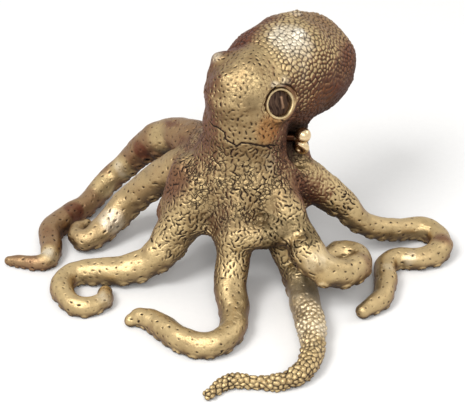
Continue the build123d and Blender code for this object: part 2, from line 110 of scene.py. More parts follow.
ARM_ROUTES = {
    "arm_front_left": (
        (1.67, 1.02, 15.50, 3.10),
        (1.06, -2.37, 10.94, 2.68),
        (0.59, -4.99, 5.60, 2.26),
        (0.14, -7.54, 3.34, 2.16),
        (0.59, -10.99, 1.98, 2.04),
        (0.29, -14.74, 1.66, 1.85),
        (-1.66, -17.29, 1.58, 1.75),
        (-5.11, -17.14, 1.53, 1.70),
        (-7.96, -14.59, 1.45, 1.61),
        (-9.91, -12.49, 1.30, 1.44),
        (-11.71, -11.44, 1.08, 1.20),
        (-12.91, -11.59, 0.78, 0.86),
    ),
    "arm_front_right": (
        (4.31, 1.83, 9.60, 2.40),
        (6.69, -0.59, 6.75, 2.26),
        (8.66, -2.58, 3.30, 2.11),
        (9.44, -4.92, 2.69, 2.14),
        (9.96, -8.04, 2.09, 2.09),
        (10.61, -12.98, 1.75, 1.94),
        (10.87, -17.66, 1.49, 1.66),
        (9.70, -21.95, 1.34, 1.49),
        (7.10, -24.16, 0.99, 1.10),
        (3.72, -24.16, 0.73, 0.82),
        (-0.05, -24.16, 0.91, 1.01),
        (-2.52, -26.24, 0.65, 0.72),
    ),
    "arm_right_curl": (
        (4.15, 1.69, 15.50, 3.10),
        (6.93, -1.57, 12.79, 2.69),
        (9.21, -4.24, 9.30, 2.28),
        (10.47, -6.67, 8.29, 2.33),
        (12.18, -7.84, 6.77, 2.21),
        (14.43, -7.66, 5.64, 2.04),
        (16.41, -6.13, 4.92, 1.92),
        (17.67, -3.97, 4.50, 1.78),
        (16.95, -2.26, 4.54, 1.80),
        (15.15, -1.81, 4.64, 1.75),
        (13.53, -2.80, 4.79, 1.45),
    ),
    "arm_right": (
        (5.19, 4.16, 15.50, 3.10),
        (9.57, 4.43, 13.24, 2.77),
        (13.18, 4.66, 10.20, 2.45),
        (16.24, 4.83, 7.41, 1.92),
        (18.96, 5.00, 4.57, 1.70),
        (22.78, 6.45, 2.60, 1.56),
        (26.35, 8.06, 1.59, 1.58),
        (28.73, 7.13, 1.49, 1.66),
        (29.58, 4.66, 1.51, 1.68),
        (28.48, 2.20, 1.49, 1.66),
        (26.18, 1.26, 1.40, 1.56),
        (23.38, 1.60, 1.30, 1.44),
        (21.51, -0.27, 1.34, 1.49),
        (21.25, -4.35, 1.34, 1.49),
        (20.32, -7.75, 1.21, 1.34),
        (17.85, -9.96, 0.99, 1.10),
    ),
    "arm_rear_right": (
        (3.36, 6.74, 15.50, 3.10),
        (4.93, 10.46, 12.84, 2.75),
        (6.19, 13.47, 9.40, 2.40),
        (7.10, 16.20, 6.62, 2.21),
        (7.62, 19.06, 4.15, 2.04),
        (7.10, 22.18, 2.21, 1.90),
        (5.02, 24.65, 1.58, 1.75),
        (1.77, 25.30, 1.45, 1.61),
        (-1.09, 23.61, 1.25, 1.39),
        (-1.61, 20.88, 1.04, 1.15),
        (0.08, 19.06, 0.78, 0.86),
    ),
    "arm_rear_left": (
        (0.13, 6.14, 15.50, 3.10),
        (-4.38, 10.88, 14.54, 2.82),
        (-8.35, 15.05, 12.80, 2.54),
        (-11.34, 16.87, 10.17, 2.30),
        (-14.07, 18.04, 6.75, 2.02),
        (-16.41, 18.30, 4.02, 1.78),
        (-18.49, 16.74, 2.61, 1.73),
        (-20.44, 13.88, 1.83, 1.68),
        (-23.04, 11.28, 1.49, 1.66),
        (-25.25, 7.77, 1.45, 1.61),
        (-24.86, 4.00, 1.36, 1.51),
        (-24.99, 1.66, 1.12, 1.25),
        (-26.55, 0.88, 0.95, 1.06),
        (-28.76, 1.40, 0.80, 0.89),
        (-30.58, 1.79, 0.60, 0.67),
    ),
    "arm_left": (
        (-0.60, 5.05, 15.50, 3.10),
        (-5.34, 6.89, 13.29, 2.75),
        (-9.36, 8.45, 10.30, 2.40),
        (-12.36, 9.29, 7.12, 2.21),
        (-15.06, 8.99, 4.40, 2.09),
        (-17.64, 6.77, 2.56, 1.85),
        (-19.77, 5.22, 1.85, 1.61),
        (-21.20, 5.94, 1.70, 1.34),
        (-21.44, 7.85, 1.58, 1.13),
        (-20.36, 9.05, 1.53, 0.89),
    ),
    "arm_left_curl": (
        (-0.53, 2.73, 15.50, 3.90),
        (-4.29, 1.01, 11.94, 3.39),
        (-7.17, -0.30, 7.40, 2.88),
        (-9.15, -1.74, 4.90, 2.40),
        (-11.49, -2.28, 3.20, 2.11),
        (-14.91, -2.46, 2.14, 1.90),
        (-18.33, -2.01, 1.77, 1.75),
        (-21.21, -2.19, 1.49, 1.66),
        (-22.65, -4.53, 1.40, 1.56),
        (-21.75, -7.68, 1.30, 1.44),
        (-19.23, -9.12, 1.21, 1.34),
        (-16.98, -7.95, 1.12, 1.25),
        (-16.71, -5.79, 0.95, 1.06),
    ),
}
JOINT_KNOT = 2
SKIRT_WEBS = (
    ((1.6, -4.2, 9.2, 1.8), (4.8, -4.5, 9.5, 1.9), (7.4, -4.0, 10.2, 1.9)),
    ((-5.6, 3.2, 14.6, 2.2), (-8.2, 1.9, 8.6, 1.7)),
)
GILL_WALL = ((8.4, 6.3, 22.4, 1.9), (9.0, 6.1, 15.4, 1.9))


def centre_line(knots, first, last):
    """Centres and radii along a limb between two of its knots, closely spaced."""
    rows = np.array(knots)
    rows = np.vstack((2 * rows[0] - rows[1], rows, 2 * rows[-1] - rows[-2]))
    rows[0, 3], rows[-1, 3] = rows[1, 3], rows[-2, 3]
    line = []
    for k in range(first + 1, last + 1):
        before, start, end, after = rows[k - 1 : k + 3]
        for step in range(SPAN_STEPS):
            t = step / SPAN_STEPS
            place = (
                start[:3] * (2 * t**3 - 3 * t**2 + 1)
                + (end[:3] - before[:3]) / 2 * (t**3 - 2 * t**2 + t)
                + end[:3] * (3 * t**2 - 2 * t**3)
                + (after[:3] - start[:3]) / 2 * (t**3 - t**2)
            )
            radius = start[3] + (end[3] - start[3]) * (3 * t**2 - 2 * t**3)
            line.append((*place, radius))
    line.append(tuple(rows[last + 1]))
    return np.array(line)


class Block:
    """A box of the shared lattice that holds how far each point is from the metal, in mm."""

    def __init__(self, low, high, step=STEP):
        self.step = step
        self.first = np.floor(np.array(low) / step).astype(int)
        last = np.ceil(np.array(high) / step).astype(int)
        self.axes = [(np.arange(a, b + 1) * step).astype(np.float32) for a, b in zip(self.first, last)]
        self.shape = [len(axis) for axis in self.axes]

    def window(self, low, high):
        """Slices of the block, and the coordinates in them, between two corners."""
        cut = []
        for axis, a, b in zip(self.axes, low, high):
            cut.append(slice(np.searchsorted(axis, a), np.searchsorted(axis, b, side="right")))
        x, y, z = (axis[c] for axis, c in zip(self.axes, cut))
        return tuple(cut), x[:, None, None], y[None, :, None], z[None, None, :]

    def limb(self, line):
        """Distance to a round limb that follows the line."""
        gap = np.full(self.shape, FAR, np.float32)
        for start, end in zip(line, line[1:]):
            reach = max(start[3], end[3]) + FAR
            low = np.minimum(start[:3], end[:3]) - reach
            high = np.maximum(start[:3], end[:3]) + reach
            cut, x, y, z = self.window(low, high)
            if min(c.stop - c.start for c in cut) <= 0:
                continue
            along = end[:3] - start[:3]
            length_squared = float(along @ along)
            dx, dy, dz = x - start[0], y - start[1], z - start[2]
            share = np.clip((dx * along[0] + dy * along[1] + dz * along[2]) / length_squared, 0, 1)
            away = np.sqrt(
                (dx - share * along[0]) ** 2 + (dy - share * along[1]) ** 2 + (dz - share * along[2]) ** 2
            )
            away -= start[3] + share * (end[3] - start[3])
            np.minimum(gap[cut], away, out=gap[cut])
        return gap

    def web_width(self):
        """How wide the fillet between neighbours is: broad at the skirt, none past the arm joints."""
        x, y = self.axes[0][:, None, None], self.axes[1][None, :, None]
        out = np.hypot(x - NECK[0], y - NECK[1])
        share = np.clip((WEB_OUTER - out) / (WEB_OUTER - WEB_INNER), 0, 1)
        return LIMB_WEB + (WEB - LIMB_WEB) * share * share * (3 - 2 * share)


def blend_in(gap, other, width):
    """Joins two distances with a rounded fillet of the given width."""
    share = np.clip(0.5 + 0.5 * (gap - other) / width, 0, 1)
    return gap + (other - gap) * share - width * share * (1 - share)


def turned_form(block, centre, axis, profile):
    """Distance to a form turned about an axis, from its (radius, height) outline."""
    outline = np.array(profile)
    radii = np.arange(-0.2, outline[:, 0].max() + FAR + 1, TABLE_STEP)
    heights = np.arange(outline[:, 1].min() - FAR - 1, outline[:, 1].max() + FAR + 1, TABLE_STEP)
    grid_r, grid_h = np.meshgrid(radii, heights, indexing="ij")
    nearest = np.full(grid_r.shape, 1e9)
    inside = np.zeros(grid_r.shape, bool)
    for (r0, h0), (r1, h1) in zip(outline, outline[1:]):
        run, rise = r1 - r0, h1 - h0
        share = np.clip(((grid_r - r0) * run + (grid_h - h0) * rise) / (run * run + rise * rise), 0, 1)
        nearest = np.minimum(nearest, np.hypot(grid_r - r0 - share * run, grid_h - h0 - share * rise))
        if rise:
            crosses = (grid_h >= min(h0, h1)) & (grid_h < max(h0, h1))
            inside ^= crosses & (grid_r < r0 + (grid_h - h0) / rise * run)
    table = np.where(inside, -nearest, nearest).astype(np.float32)
    x, y, z = np.meshgrid(*block.axes, indexing="ij", sparse=True)
    dx, dy, dz = x - centre[0], y - centre[1], z - centre[2]
    height = dx * axis[0] + dy * axis[1] + dz * axis[2]
    radius = np.sqrt(np.maximum(dx * dx + dy * dy + dz * dz - height * height, 0))
    u = np.clip((radius - radii[0]) / TABLE_STEP, 0, len(radii) - 1.01)
    v = np.clip((height - heights[0]) / TABLE_STEP, 0, len(heights) - 1.01)
    i, j = u.astype(np.int32), v.astype(np.int32)
    u -= i
    v -= j
    return (
        table[i, j] * (1 - u) * (1 - v)
        + table[i + 1, j] * u * (1 - v)
        + table[i, j + 1] * (1 - u) * v
        + table[i + 1, j + 1] * u * v
    )


def body_gap(block, whole_arm=None, joint=None):
    """Distance to the crown and the stumps; one arm may run its whole length past its joint."""
    beyond = 0.0
    if joint is not None:
        x, y, z = np.meshgrid(*block.axes, indexing="ij", sparse=True)
        centre, way = joint
        past = (x - centre[0]) * way[0] + (y - centre[1]) * way[1] + (z - centre[2]) * way[2]
        beyond = STUMP_FADE * np.maximum(past, 0)
    width = block.web_width()
    gap = turned_form(block, NECK, (0, 0, 1), BELL_PROFILE) + beyond
    for name, knots in ARM_ROUTES.items():
        if name == whole_arm:
            gap = blend_in(gap, block.limb(centre_line(knots, 0, len(knots) - 1)), width)
        else:
            gap = blend_in(gap, block.limb(centre_line(knots, 0, JOINT_KNOT + 1)) + beyond, width)
    for web in SKIRT_WEBS:
        gap = blend_in(gap, block.limb(np.array(web)) + beyond, np.float32(SKIRT_WEB))
    floor_gap = SOLE_LEVEL - block.axes[2][None, None, :]
    return np.maximum(gap, floor_gap)


def skin(block, gap):
    """The metal's skin as points in mm and faces of four corners, all facing outward."""
    grid = openvdb.FloatGrid(1.0)
    grid.copyFromArray(np.clip(gap, -1, 1).astype(np.float32))
    points, quads = grid.convertToQuads(0.0)
    points = (points + block.first) * block.step
    quads = quads.astype(np.int64)
    a, b, c, d = (points[quads[:, k]] for k in range(4))
    volume = np.einsum("ij,ij->i", a, np.cross(b, c) + np.cross(c, d)).sum()
    if volume < 0:
        quads = quads[:, ::-1]
    return points, quads


def joint_of(knots):
    """The flat between a stump and its arm: a point on it and the way the arm leaves."""
    way = np.array(knots[JOINT_KNOT + 1][:3]) - np.array(knots[JOINT_KNOT - 1][:3])
    return np.array(knots[JOINT_KNOT][:3]), way / np.linalg.norm(way)


JOINTS = {name: joint_of(knots) for name, knots in ARM_ROUTES.items()}

# Head and mantle
# The bag, the brow and the two eye seats are one casting with the crown to the eye; a crack round the
# neck shows where the two castings meet.
HEAD = np.array((2.1, 3.97, 27.3))
BAG_WAY = np.array((0.6365, 0.7586, -0.1392))
BAG_RADIUS = 7.4
BAG_LENGTH = 25.2
BROW_OVERHANG = 5.3
PEAR_SHARES = (
    (0.0, 0.0),
    (0.004, 0.16),
    (0.02, 0.32),
    (0.06, 0.49),
    (0.12, 0.63),
    (0.21, 0.745),
    (0.31, 0.84),
    (0.42, 0.94),
    (0.56, 1.0),
    (0.7, 0.985),
    (0.82, 0.89),
    (0.91, 0.72),
    (0.965, 0.5),
    (0.992, 0.28),
    (1.0, 0.0),
)
EYES = {
    "left": (np.array((-2.429, 6.911, 26.7)), np.array((-0.9155, 0.0962, 0.3907)), (-1.28, 5.8, 30.5)),
    "right": (np.array((6.629, 1.029, 26.7)), np.array((0.4603, -0.7972, 0.3907)), (7.0, 2.02, 29.38)),
}
SEAT_RADIUS = 2.42
SEAT_FOOT_RADIUS = 3.0
SEAT_FOOT_DEPTH = 3.2
SEAT_WEB = 0.9
POCKET_RADIUS = 2.14
POCKET_DEPTH = 0.9
POCKET_REACH = 4
CLEAR_ROUND_RING = 0.2
KNOB_RADIUS = 0.9
KNOB_PROUD = 0.45
KNOB_WEB = 0.6
BROW_RADIUS = 1.25
BROW_DEPTH = 1.2
BROW_RISE = np.array((0.0, 0.0, 1.9))
HEAD_WEB = 1.2
GILL_WEB = 0.8
VALLEY_PLACE = 1.2
VALLEY_WIDTH = 0.9
VALLEY_DEPTH = 0.28
VALLEY_RISES = (27.5, 30.0)
FLATS = (
    ((0.6, -0.8, 29.5), 2.6, 0.45),
    ((-0.4, 4.1, 31.8), 2.4, 0.4),
    ((14.2, 13.6, 31.2), 4.2, 0.9),
)
HOLLOW = ((9.6, 3.1, 18.6), (2.0, 1.6, 3.0))
HOLLOW_WEB = 0.6
LUMP_WEB = 0.4
LUMP_LENGTH = 0.3
CREST_LUMPS = (
    (9.0, 14.0, 32.5, 0.95),
    (12.1, 15.7, 31.0, 0.85),
    (9.1, 8.6, 32.5, 0.95),
    (5.4, 10.1, 32.5, 0.8),
    (15.2, 11.8, 29.0, 0.7),
    (6.0, 1.25, 29.25, 0.62),
)


def smooth_outline(points, steps):
    """Points on the smooth curve through an outline."""
    rows = np.array(points)
    rows = np.vstack((2 * rows[0] - rows[1], rows, 2 * rows[-1] - rows[-2]))
    out = []
    for k in range(1, len(rows) - 2):
        before, start, end, after = rows[k - 1 : k + 3]
        for step in range(steps):
            t = step / steps
            out.append(
                start * (2 * t**3 - 3 * t**2 + 1)
                + (end - before) / 2 * (t**3 - 2 * t**2 + t)
                + end * (3 * t**2 - 2 * t**3)
                + (after - start) / 2 * (t**3 - t**2)
            )
    out.append(rows[-2])
    return np.array(out)


def head_gap(block):
    """Distance to the bag, the eye seats and the brow knobs."""
    outline = [(share * BAG_RADIUS, along * BAG_LENGTH - BROW_OVERHANG) for along, share in PEAR_SHARES]
    outline = smooth_outline(outline, 5)
    outline[:, 0] = np.maximum(outline[:, 0], 0)
    gap = turned_form(block, HEAD, BAG_WAY, outline)
    for eye, normal, knob in EYES.values():
        foot = (*(eye - normal * SEAT_FOOT_DEPTH), SEAT_FOOT_RADIUS)
        face = (*(eye - normal * POCKET_DEPTH), SEAT_RADIUS)
        gap = blend_in(gap, block.limb(np.array((foot, face))), SEAT_WEB)
    for eye, normal, knob in EYES.values():
        low_knob = np.array(knob) - normal * KNOB_PROUD
        high_knob = np.array(knob) + normal * KNOB_PROUD * 0.4
        knob_line = np.array(((*low_knob, KNOB_RADIUS), (*high_knob, KNOB_RADIUS * 0.9)))
        gap = blend_in(gap, block.limb(knob_line), KNOB_WEB)
        brow_foot = eye - normal * BROW_DEPTH + BROW_RISE
        brow_line = np.array(((*low_knob, BROW_RADIUS), (*brow_foot, BROW_RADIUS)))
        gap = blend_in(gap, block.limb(brow_line), SEAT_WEB)
    for lump in CREST_LUMPS:
        lump_end = (lump[0] + LUMP_LENGTH, lump[1] + LUMP_LENGTH, lump[2], lump[3])
        gap = blend_in(gap, block.limb(np.array((lump, lump_end))), LUMP_WEB)
    return gap


def cut_pockets(block, gap):
    """Sinks a round pocket for each eye's ring, and clears the metal that stood in front of it."""
    x, y, z = np.meshgrid(*block.axes, indexing="ij", sparse=True)
    for eye, normal, knob in EYES.values():
        dx, dy, dz = x - eye[0], y - eye[1], z - eye[2]
        height = dx * normal[0] + dy * normal[1] + dz * normal[2]
        radius = np.sqrt(np.maximum(dx * dx + dy * dy + dz * dz - height * height, 0))
        pocket = np.maximum(radius - POCKET_RADIUS, -POCKET_DEPTH - height)
        front = np.maximum(radius - SEAT_RADIUS - CLEAR_ROUND_RING, -height)
        gap = np.where(height < POCKET_REACH, np.maximum(gap, -pocket), gap)
        gap = np.where(height < POCKET_REACH, np.maximum(gap, -front), gap)
    return gap


def cut_hollow(block, gap):
    """The dark hollow behind the siphon."""
    x, y, z = np.meshgrid(*block.axes, indexing="ij", sparse=True)
    centre, half = HOLLOW
    dx, dy, dz = (x - centre[0]) / half[0], (y - centre[1]) / half[1], (z - centre[2]) / half[2]
    scaled = np.sqrt(dx**2 + dy**2 + dz**2)
    hollow = (scaled - 1) * min(half)
    share = np.clip(0.5 - 0.5 * (gap + hollow) / HOLLOW_WEB, 0, 1)
    return gap - (gap + hollow) * share + HOLLOW_WEB * share * (1 - share)


def dips(block):
    """A shallow valley behind the brow, where the bag begins, and flatter places on the head and bag."""
    x, y, z = np.meshgrid(*block.axes, indexing="ij", sparse=True)
    back = (x - HEAD[0]) * BAG_WAY[0] + (y - HEAD[1]) * BAG_WAY[1] + (z - HEAD[2]) * BAG_WAY[2]
    low, high = VALLEY_RISES
    rise = np.clip((z - low) / (high - low), 0, 1)
    valley = VALLEY_DEPTH * np.exp(-(((back - VALLEY_PLACE) / VALLEY_WIDTH) ** 2))
    depth_here = valley * rise * rise * (3 - 2 * rise)
    for centre, reach, depth in FLATS:
        away = ((x - centre[0]) ** 2 + (y - centre[1]) ** 2 + (z - centre[2]) ** 2) / reach**2
        depth_here = depth_here + depth * np.exp(-away)
    return depth_here


body_block = Block((-11.5, -8.0, 1.0), (22.5, 24.5, 34.5))
casting_gap = body_gap(body_block)
casting_gap = blend_in(casting_gap, body_block.limb(np.array(GILL_WALL)), np.float32(GILL_WEB))
bag_gap = head_gap(body_block)
nearer_bag = bag_gap - casting_gap
whole_gap = blend_in(casting_gap, bag_gap, np.float32(HEAD_WEB)) + dips(body_block)
whole_gap = cut_hollow(body_block, cut_pockets(body_block, whole_gap))
blocks = {"body": (body_block, whole_gap)}
for name, knots in ARM_ROUTES.items():
    rows = np.array(knots)[JOINT_KNOT:]
    low = (rows[:, :3] - rows[:, 3:]).min(axis=0) - JOINT_MARGIN
    high = (rows[:, :3] + rows[:, 3:]).max(axis=0) + TIP_MARGIN
    low[2] = -BELOW_FLOOR
    block = Block(low, high)
    blocks[name] = (block, body_gap(block, name, JOINTS[name]))

# Chasing and skin
# The caster cut the skin into the wax: worm-like pits down the skirt and the limbs, beads on the bag, and
# fewer, smaller pits on the face and the arms. Suckers stand under the arms.
SPREAD = np.random.default_rng(23)
# How much skin each point stands for, in square mm
POINT_AREA = 0.0144
# Spacing, half widths, lengths, depths, and how far the pits stray from the run of the limb
SKIRT_PITS = (0.52, (0.1, 0.145), (0.15, 0.8), (0.1, 0.2), 0.75)
LIMB_PITS = (0.95, (0.1, 0.16), (0.04, 0.35), (0.08, 0.17), 0.4)
FACE_PITS = (0.62, (0.1, 0.16), (0.04, 0.45), (0.1, 0.18), 0.8)
FACE_FOOT = 21.5
BEAD_SPACING = 0.52
BEADS_LEFT_OUT = 0.14
BEAD_STANDS = (0.2, 2.0)
BEAD_EDGE = 0.62
BEAD_GROOVE = 0.19
BEAD_RISE = 0.12
ARM_BEAD_SPACING = 0.6
ARM_BEADS_FROM = -8
ARM_BEAD_SHARE = 0.8
SUCKER_SHARE = 0.4
SUCKER_TURN = 46.0
SUCKER_EVERY = 2.5
SUCKER_RING = 0.22
SUCKER_CUP = 0.24
WRINKLES = ((13.2, 6.8, 25.4), 3.6)
FOLD_DEPTH = 0.07
FOLD_SPACING = 0.9
NECK_RADIUS = 5.7
CRACK_DEPTH = 0.2
CRACK_WIDTH = 0.12
CRACK = ((-6.2, 23.7), (-5.2, 23.5), (-4.3, 23.75), (-3.1, 23.4), (-2.8, 22.5), (-1.9, 22.2), (-1.15, 21.85),
         (-0.6, 22.4), (0.4, 22.3), (1.4, 21.95), (2.6, 21.5), (3.2, 21.55), (4.3, 20.9))
SWELL_SPACING = 2.2
SWELL = 0.12
FINE_SWELL_SPACING = 1.0
FINE_SWELL = 0.035


def soft_step(low, high, value):
    """0 below low, 1 above high, and a smooth rise between them."""
    share = np.clip((value - low) / (high - low), 0, 1)
    return share * share * (3 - 2 * share)


def skin_normals(points, quads):
    """Outward unit normals at the points of a skin."""
    a, b, c, d = (points[quads[:, k]] for k in range(4))
    facing = np.cross(c - a, d - b)
    normals = np.zeros(points.shape)
    for k in range(4):
        for axis in range(3):
            normals[:, axis] += np.bincount(quads[:, k], facing[:, axis], len(points))
    return normals / np.maximum(np.linalg.norm(normals, axis=1, keepdims=True), 1e-9)


def scatter(points, spacing):
    """Picks of the points, spread at random and never nearer together than the spacing."""
    if not len(points):
        return np.zeros(0, int)
    order = SPREAD.permutation(len(points))
    order = order[: int(len(points) * POINT_AREA / spacing**2 * 9) + 50]
    taken = {}
    picks = []
    for k in order:
        x, y, z = points[k]
        cell = (int(x // spacing), int(y // spacing), int(z // spacing))
        around = itertools.product(*((c - 1, c, c + 1) for c in cell))
        others = itertools.chain.from_iterable(taken.get(place, ()) for place in around)
        if all((u - x) ** 2 + (v - y) ** 2 + (w - z) ** 2 >= spacing**2 for u, v, w in others):
            taken.setdefault(cell, []).append((x, y, z))
            picks.append(k)
    return np.array(picks, int)


# Every point of the skin once: the body's up to the joints, and each arm's beyond its own
skin_points, skin_ways = [], []
for name, (block, gap) in blocks.items():
    points, quads = skin(block, gap)
    normals = skin_normals(points, quads)
    if name == "body":
        keep = np.ones(len(points), bool)
        for centre, way in JOINTS.values():
            away = points - centre
            keep &= ~((away @ way > 0) & (np.linalg.norm(away, axis=1) < 4.5))
    else:
        centre, way = JOINTS[name]
        keep = (points - centre) @ way > 0
    skin_points.append(points[keep])
    skin_ways.append(normals[keep])
skin_points = np.vstack(skin_points)
skin_ways = np.vstack(skin_ways)

# Every step along every limb: its place, radius and way, how far it is past the joint, and which limb it is
ARM_NAMES = list(ARM_ROUTES)
limb_rows = []
for name, knots in ARM_ROUTES.items():
    line = centre_line(knots, 0, len(knots) - 1)
    ways = np.gradient(line[:, :3], axis=0)
    ways /= np.linalg.norm(ways, axis=1, keepdims=True)
    spans = np.concatenate(([0], np.cumsum(np.linalg.norm(np.diff(line[:, :3], axis=0), axis=1))))
    spans -= spans[JOINT_KNOT * SPAN_STEPS]
    for row, way, span in zip(line, ways, spans):
        limb_rows.append((*row, *way, span, ARM_NAMES.index(name)))
limb_rows = np.array(limb_rows)
limb_tree = KDTree(len(limb_rows))
for k, row in enumerate(limb_rows):
    limb_tree.insert(row[:3], k)
limb_tree.balance()


def nearest_limb(point):
    """The row of the limb whose skin is nearest."""
    best, best_away = None, 1e9
    for place, k, away in limb_tree.find_n(point, 6):
        if away - limb_rows[k, 3] < best_away:
            best, best_away = limb_rows[k], away - limb_rows[k, 3]
    return best


def bag_span(points):
    """How far back along the bag the points lie."""
    return (points - HEAD) @ BAG_WAY


def strokes_over(picks, half_widths, lengths, depths, stray):
    """Short bent strokes on the skin, mostly along the limbs."""
    strokes = []
    for k in picks:
        point, normal = skin_points[k], skin_ways[k]
        row = nearest_limb(point)
        flow = row[4:7] if point[2] < 14 else row[4:7] * 0.5 - np.array((0, 0, 1.0))
        flow = flow - normal * (flow @ normal)
        flow /= max(np.linalg.norm(flow), 1e-6)
        across = np.cross(normal, flow)
        length = SPREAD.uniform(*lengths)
        turn = SPREAD.normal(0, stray)
        bend = SPREAD.uniform(-0.9, 0.9)
        first = flow * math.cos(turn) + across * math.sin(turn)
        second = flow * math.cos(turn + bend) + across * math.sin(turn + bend)
        half_width, depth = SPREAD.uniform(*half_widths), SPREAD.uniform(*depths)
        start, end = point - first * length / 2, point + second * length / 2
        strokes.append((start, point, end, half_width, depth, normal))
    return strokes


spans = bag_span(skin_points)
on_bag = (spans > 1.0) & (skin_points[:, 2] > 17) & ((skin_points[:, 2] > 23) | (spans > 5))
on_face = ~on_bag & (skin_points[:, 2] > FACE_FOOT)
rest = ~on_bag & ~on_face
limb_of = np.zeros(len(skin_points), int)
span_of = np.zeros(len(skin_points))
for k in range(0, len(skin_points), 6):
    row = nearest_limb(skin_points[k])
    limb_of[k : k + 6], span_of[k : k + 6] = row[8], row[7]
smooth_limbs = [ARM_NAMES.index(n) for n in ("arm_left", "arm_rear_left")]
is_smooth = np.isin(limb_of, smooth_limbs) & (skin_points[:, 0] < -3.0)
near = rest & (span_of < 3.0) & ~is_smooth
far = rest & ~near

strokes = []
for region, (spacing, half_widths, lengths, depths, stray) in (
    (near, SKIRT_PITS),
    (far, LIMB_PITS),
    (on_face, FACE_PITS),
):
    spots = np.flatnonzero(region)
    spots = spots[scatter(skin_points[spots], spacing)]
    strokes += strokes_over(spots, half_widths, lengths, depths, stray)

bag = np.flatnonzero(on_bag)
beads = skin_points[bag[scatter(skin_points[bag], BEAD_SPACING)]]
beads = beads[SPREAD.random(len(beads)) > BEADS_LEFT_OUT]
on_beaded_arm = (limb_of == ARM_NAMES.index("arm_front_right")) & (skin_points[:, 1] < ARM_BEADS_FROM)
arm = np.flatnonzero(on_beaded_arm)
beads = np.vstack((beads, skin_points[arm[scatter(skin_points[arm], ARM_BEAD_SPACING)]]))
bead_stands = SPREAD.uniform(*BEAD_STANDS, len(beads))

# Two rows of suckers under each arm: a place on the skin, and how wide each is
suckers = []
for name, knots in ARM_ROUTES.items():
    line = centre_line(knots, 0, len(knots) - 1)
    ways = np.gradient(line[:, :3], axis=0)
    gone, due = 0.0, 0.0
    for k in range(JOINT_KNOT * SPAN_STEPS + 6, len(line) - 2):
        gone += float(np.linalg.norm(line[k, :3] - line[k - 1, :3]))
        if gone < due:
            continue
        radius = line[k, 3]
        size = SUCKER_SHARE * radius
        due = gone + SUCKER_EVERY * size
        way = ways[k] / np.linalg.norm(ways[k])
        across = np.cross(way, (0, 0, 1.0))
        across /= np.linalg.norm(across)
        under = np.cross(way, across)
        under *= -np.sign(under[2])
        for side in (-1, 1):
            turn = math.radians(SUCKER_TURN) * side
            place = line[k, :3] + radius * (under * math.cos(turn) + across * math.sin(turn))
            suckers.append((place, size))


swell_low = np.array((-34.0, -32.0, -4.0))
swell_values = SPREAD.normal(0, 1, (68, 64, 44)).astype(np.float32)


def swelling(block, spacing):
    """Low waves all over, as a hand-worked wax has."""
    weights = []
    for axis, low, count in zip(block.axes, swell_low, swell_values.shape):
        place = (axis - low) / spacing
        cell = np.floor(place).astype(int)
        share = place - cell
        share = share * share * (3 - 2 * share)
        table = np.zeros((len(axis), count), np.float32)
        table[np.arange(len(axis)), cell] = 1 - share
        table[np.arange(len(axis)), cell + 1] += share
        weights.append(table)
    waves = np.tensordot(weights[0], swell_values, (1, 0))
    waves = np.tensordot(waves, weights[1], (1, 1)).transpose(0, 2, 1)
    return np.tensordot(waves, weights[2], (2, 1))


def stroke_relief(block, strokes, out):
    """Cuts the strokes that fall in the block, by their depth."""
    low = np.array([axis[0] for axis in block.axes]) - 1
    high = np.array([axis[-1] for axis in block.axes]) + 1
    for start, middle, end, half_width, depth, normal in strokes:
        if (middle < low).any() or (middle > high).any():
            continue
        corners = np.array((start, middle, end))
        reach = half_width + 0.25
        cut, x, y, z = block.window(corners.min(axis=0) - reach, corners.max(axis=0) + reach)
        if min(c.stop - c.start for c in cut) <= 0:
            continue
        near_line = None
        for a, b in ((start, middle), (middle, end)):
            way = b - a
            dx, dy, dz = x - a[0], y - a[1], z - a[2]
            share = np.clip((dx * way[0] + dy * way[1] + dz * way[2]) / max(float(way @ way), 1e-9), 0, 1)
            away = (dx - share * way[0]) ** 2 + (dy - share * way[1]) ** 2 + (dz - share * way[2]) ** 2
            away = away - 0.92 * (dx * normal[0] + dy * normal[1] + dz * normal[2]) ** 2
            near_line = away if near_line is None else np.minimum(near_line, away)
        cutting = depth * np.clip(1 - near_line / half_width**2, 0, 1)
        np.maximum(out[cut], cutting, out=out[cut])


def bead_relief(block):
    """Round beads with grooves between them, all over the bag."""
    nearest = np.full(block.shape, 2.0, np.float32)
    second = np.full(block.shape, 2.0, np.float32)
    stands = np.ones(block.shape, np.float32)
    reach = 1.3
    for bead, stand in zip(beads, bead_stands):
        cut, x, y, z = block.window(bead - reach, bead + reach)
        if min(c.stop - c.start for c in cut) <= 0:
            continue
        away = np.sqrt((x - bead[0]) ** 2 + (y - bead[1]) ** 2 + (z - bead[2]) ** 2)
        np.minimum(second[cut], np.maximum(nearest[cut], away), out=second[cut])
        stands[cut] = np.where(away < nearest[cut], stand, stands[cut])
        np.minimum(nearest[cut], away, out=nearest[cut])
    edge = np.clip((second - nearest) / BEAD_EDGE, 0, 1)
    dome = edge * (2 - edge)
    return BEAD_GROOVE * (1 - dome) - BEAD_RISE * dome * stands


def sucker_relief(block, out):
    """Raises a ring with a sunk middle at each sucker."""
    for place, size in suckers:
        cut, x, y, z = block.window(place - size * 1.5, place + size * 1.5)
        if min(c.stop - c.start for c in cut) <= 0:
            continue
        away = np.sqrt((x - place[0]) ** 2 + (y - place[1]) ** 2 + (z - place[2]) ** 2) / size
        ring = SUCKER_RING * np.exp(-(((away - 0.72) / 0.24) ** 2))
        cup = SUCKER_CUP * np.exp(-((away / 0.42) ** 2))
        out[cut] -= (ring - cup).astype(np.float32)


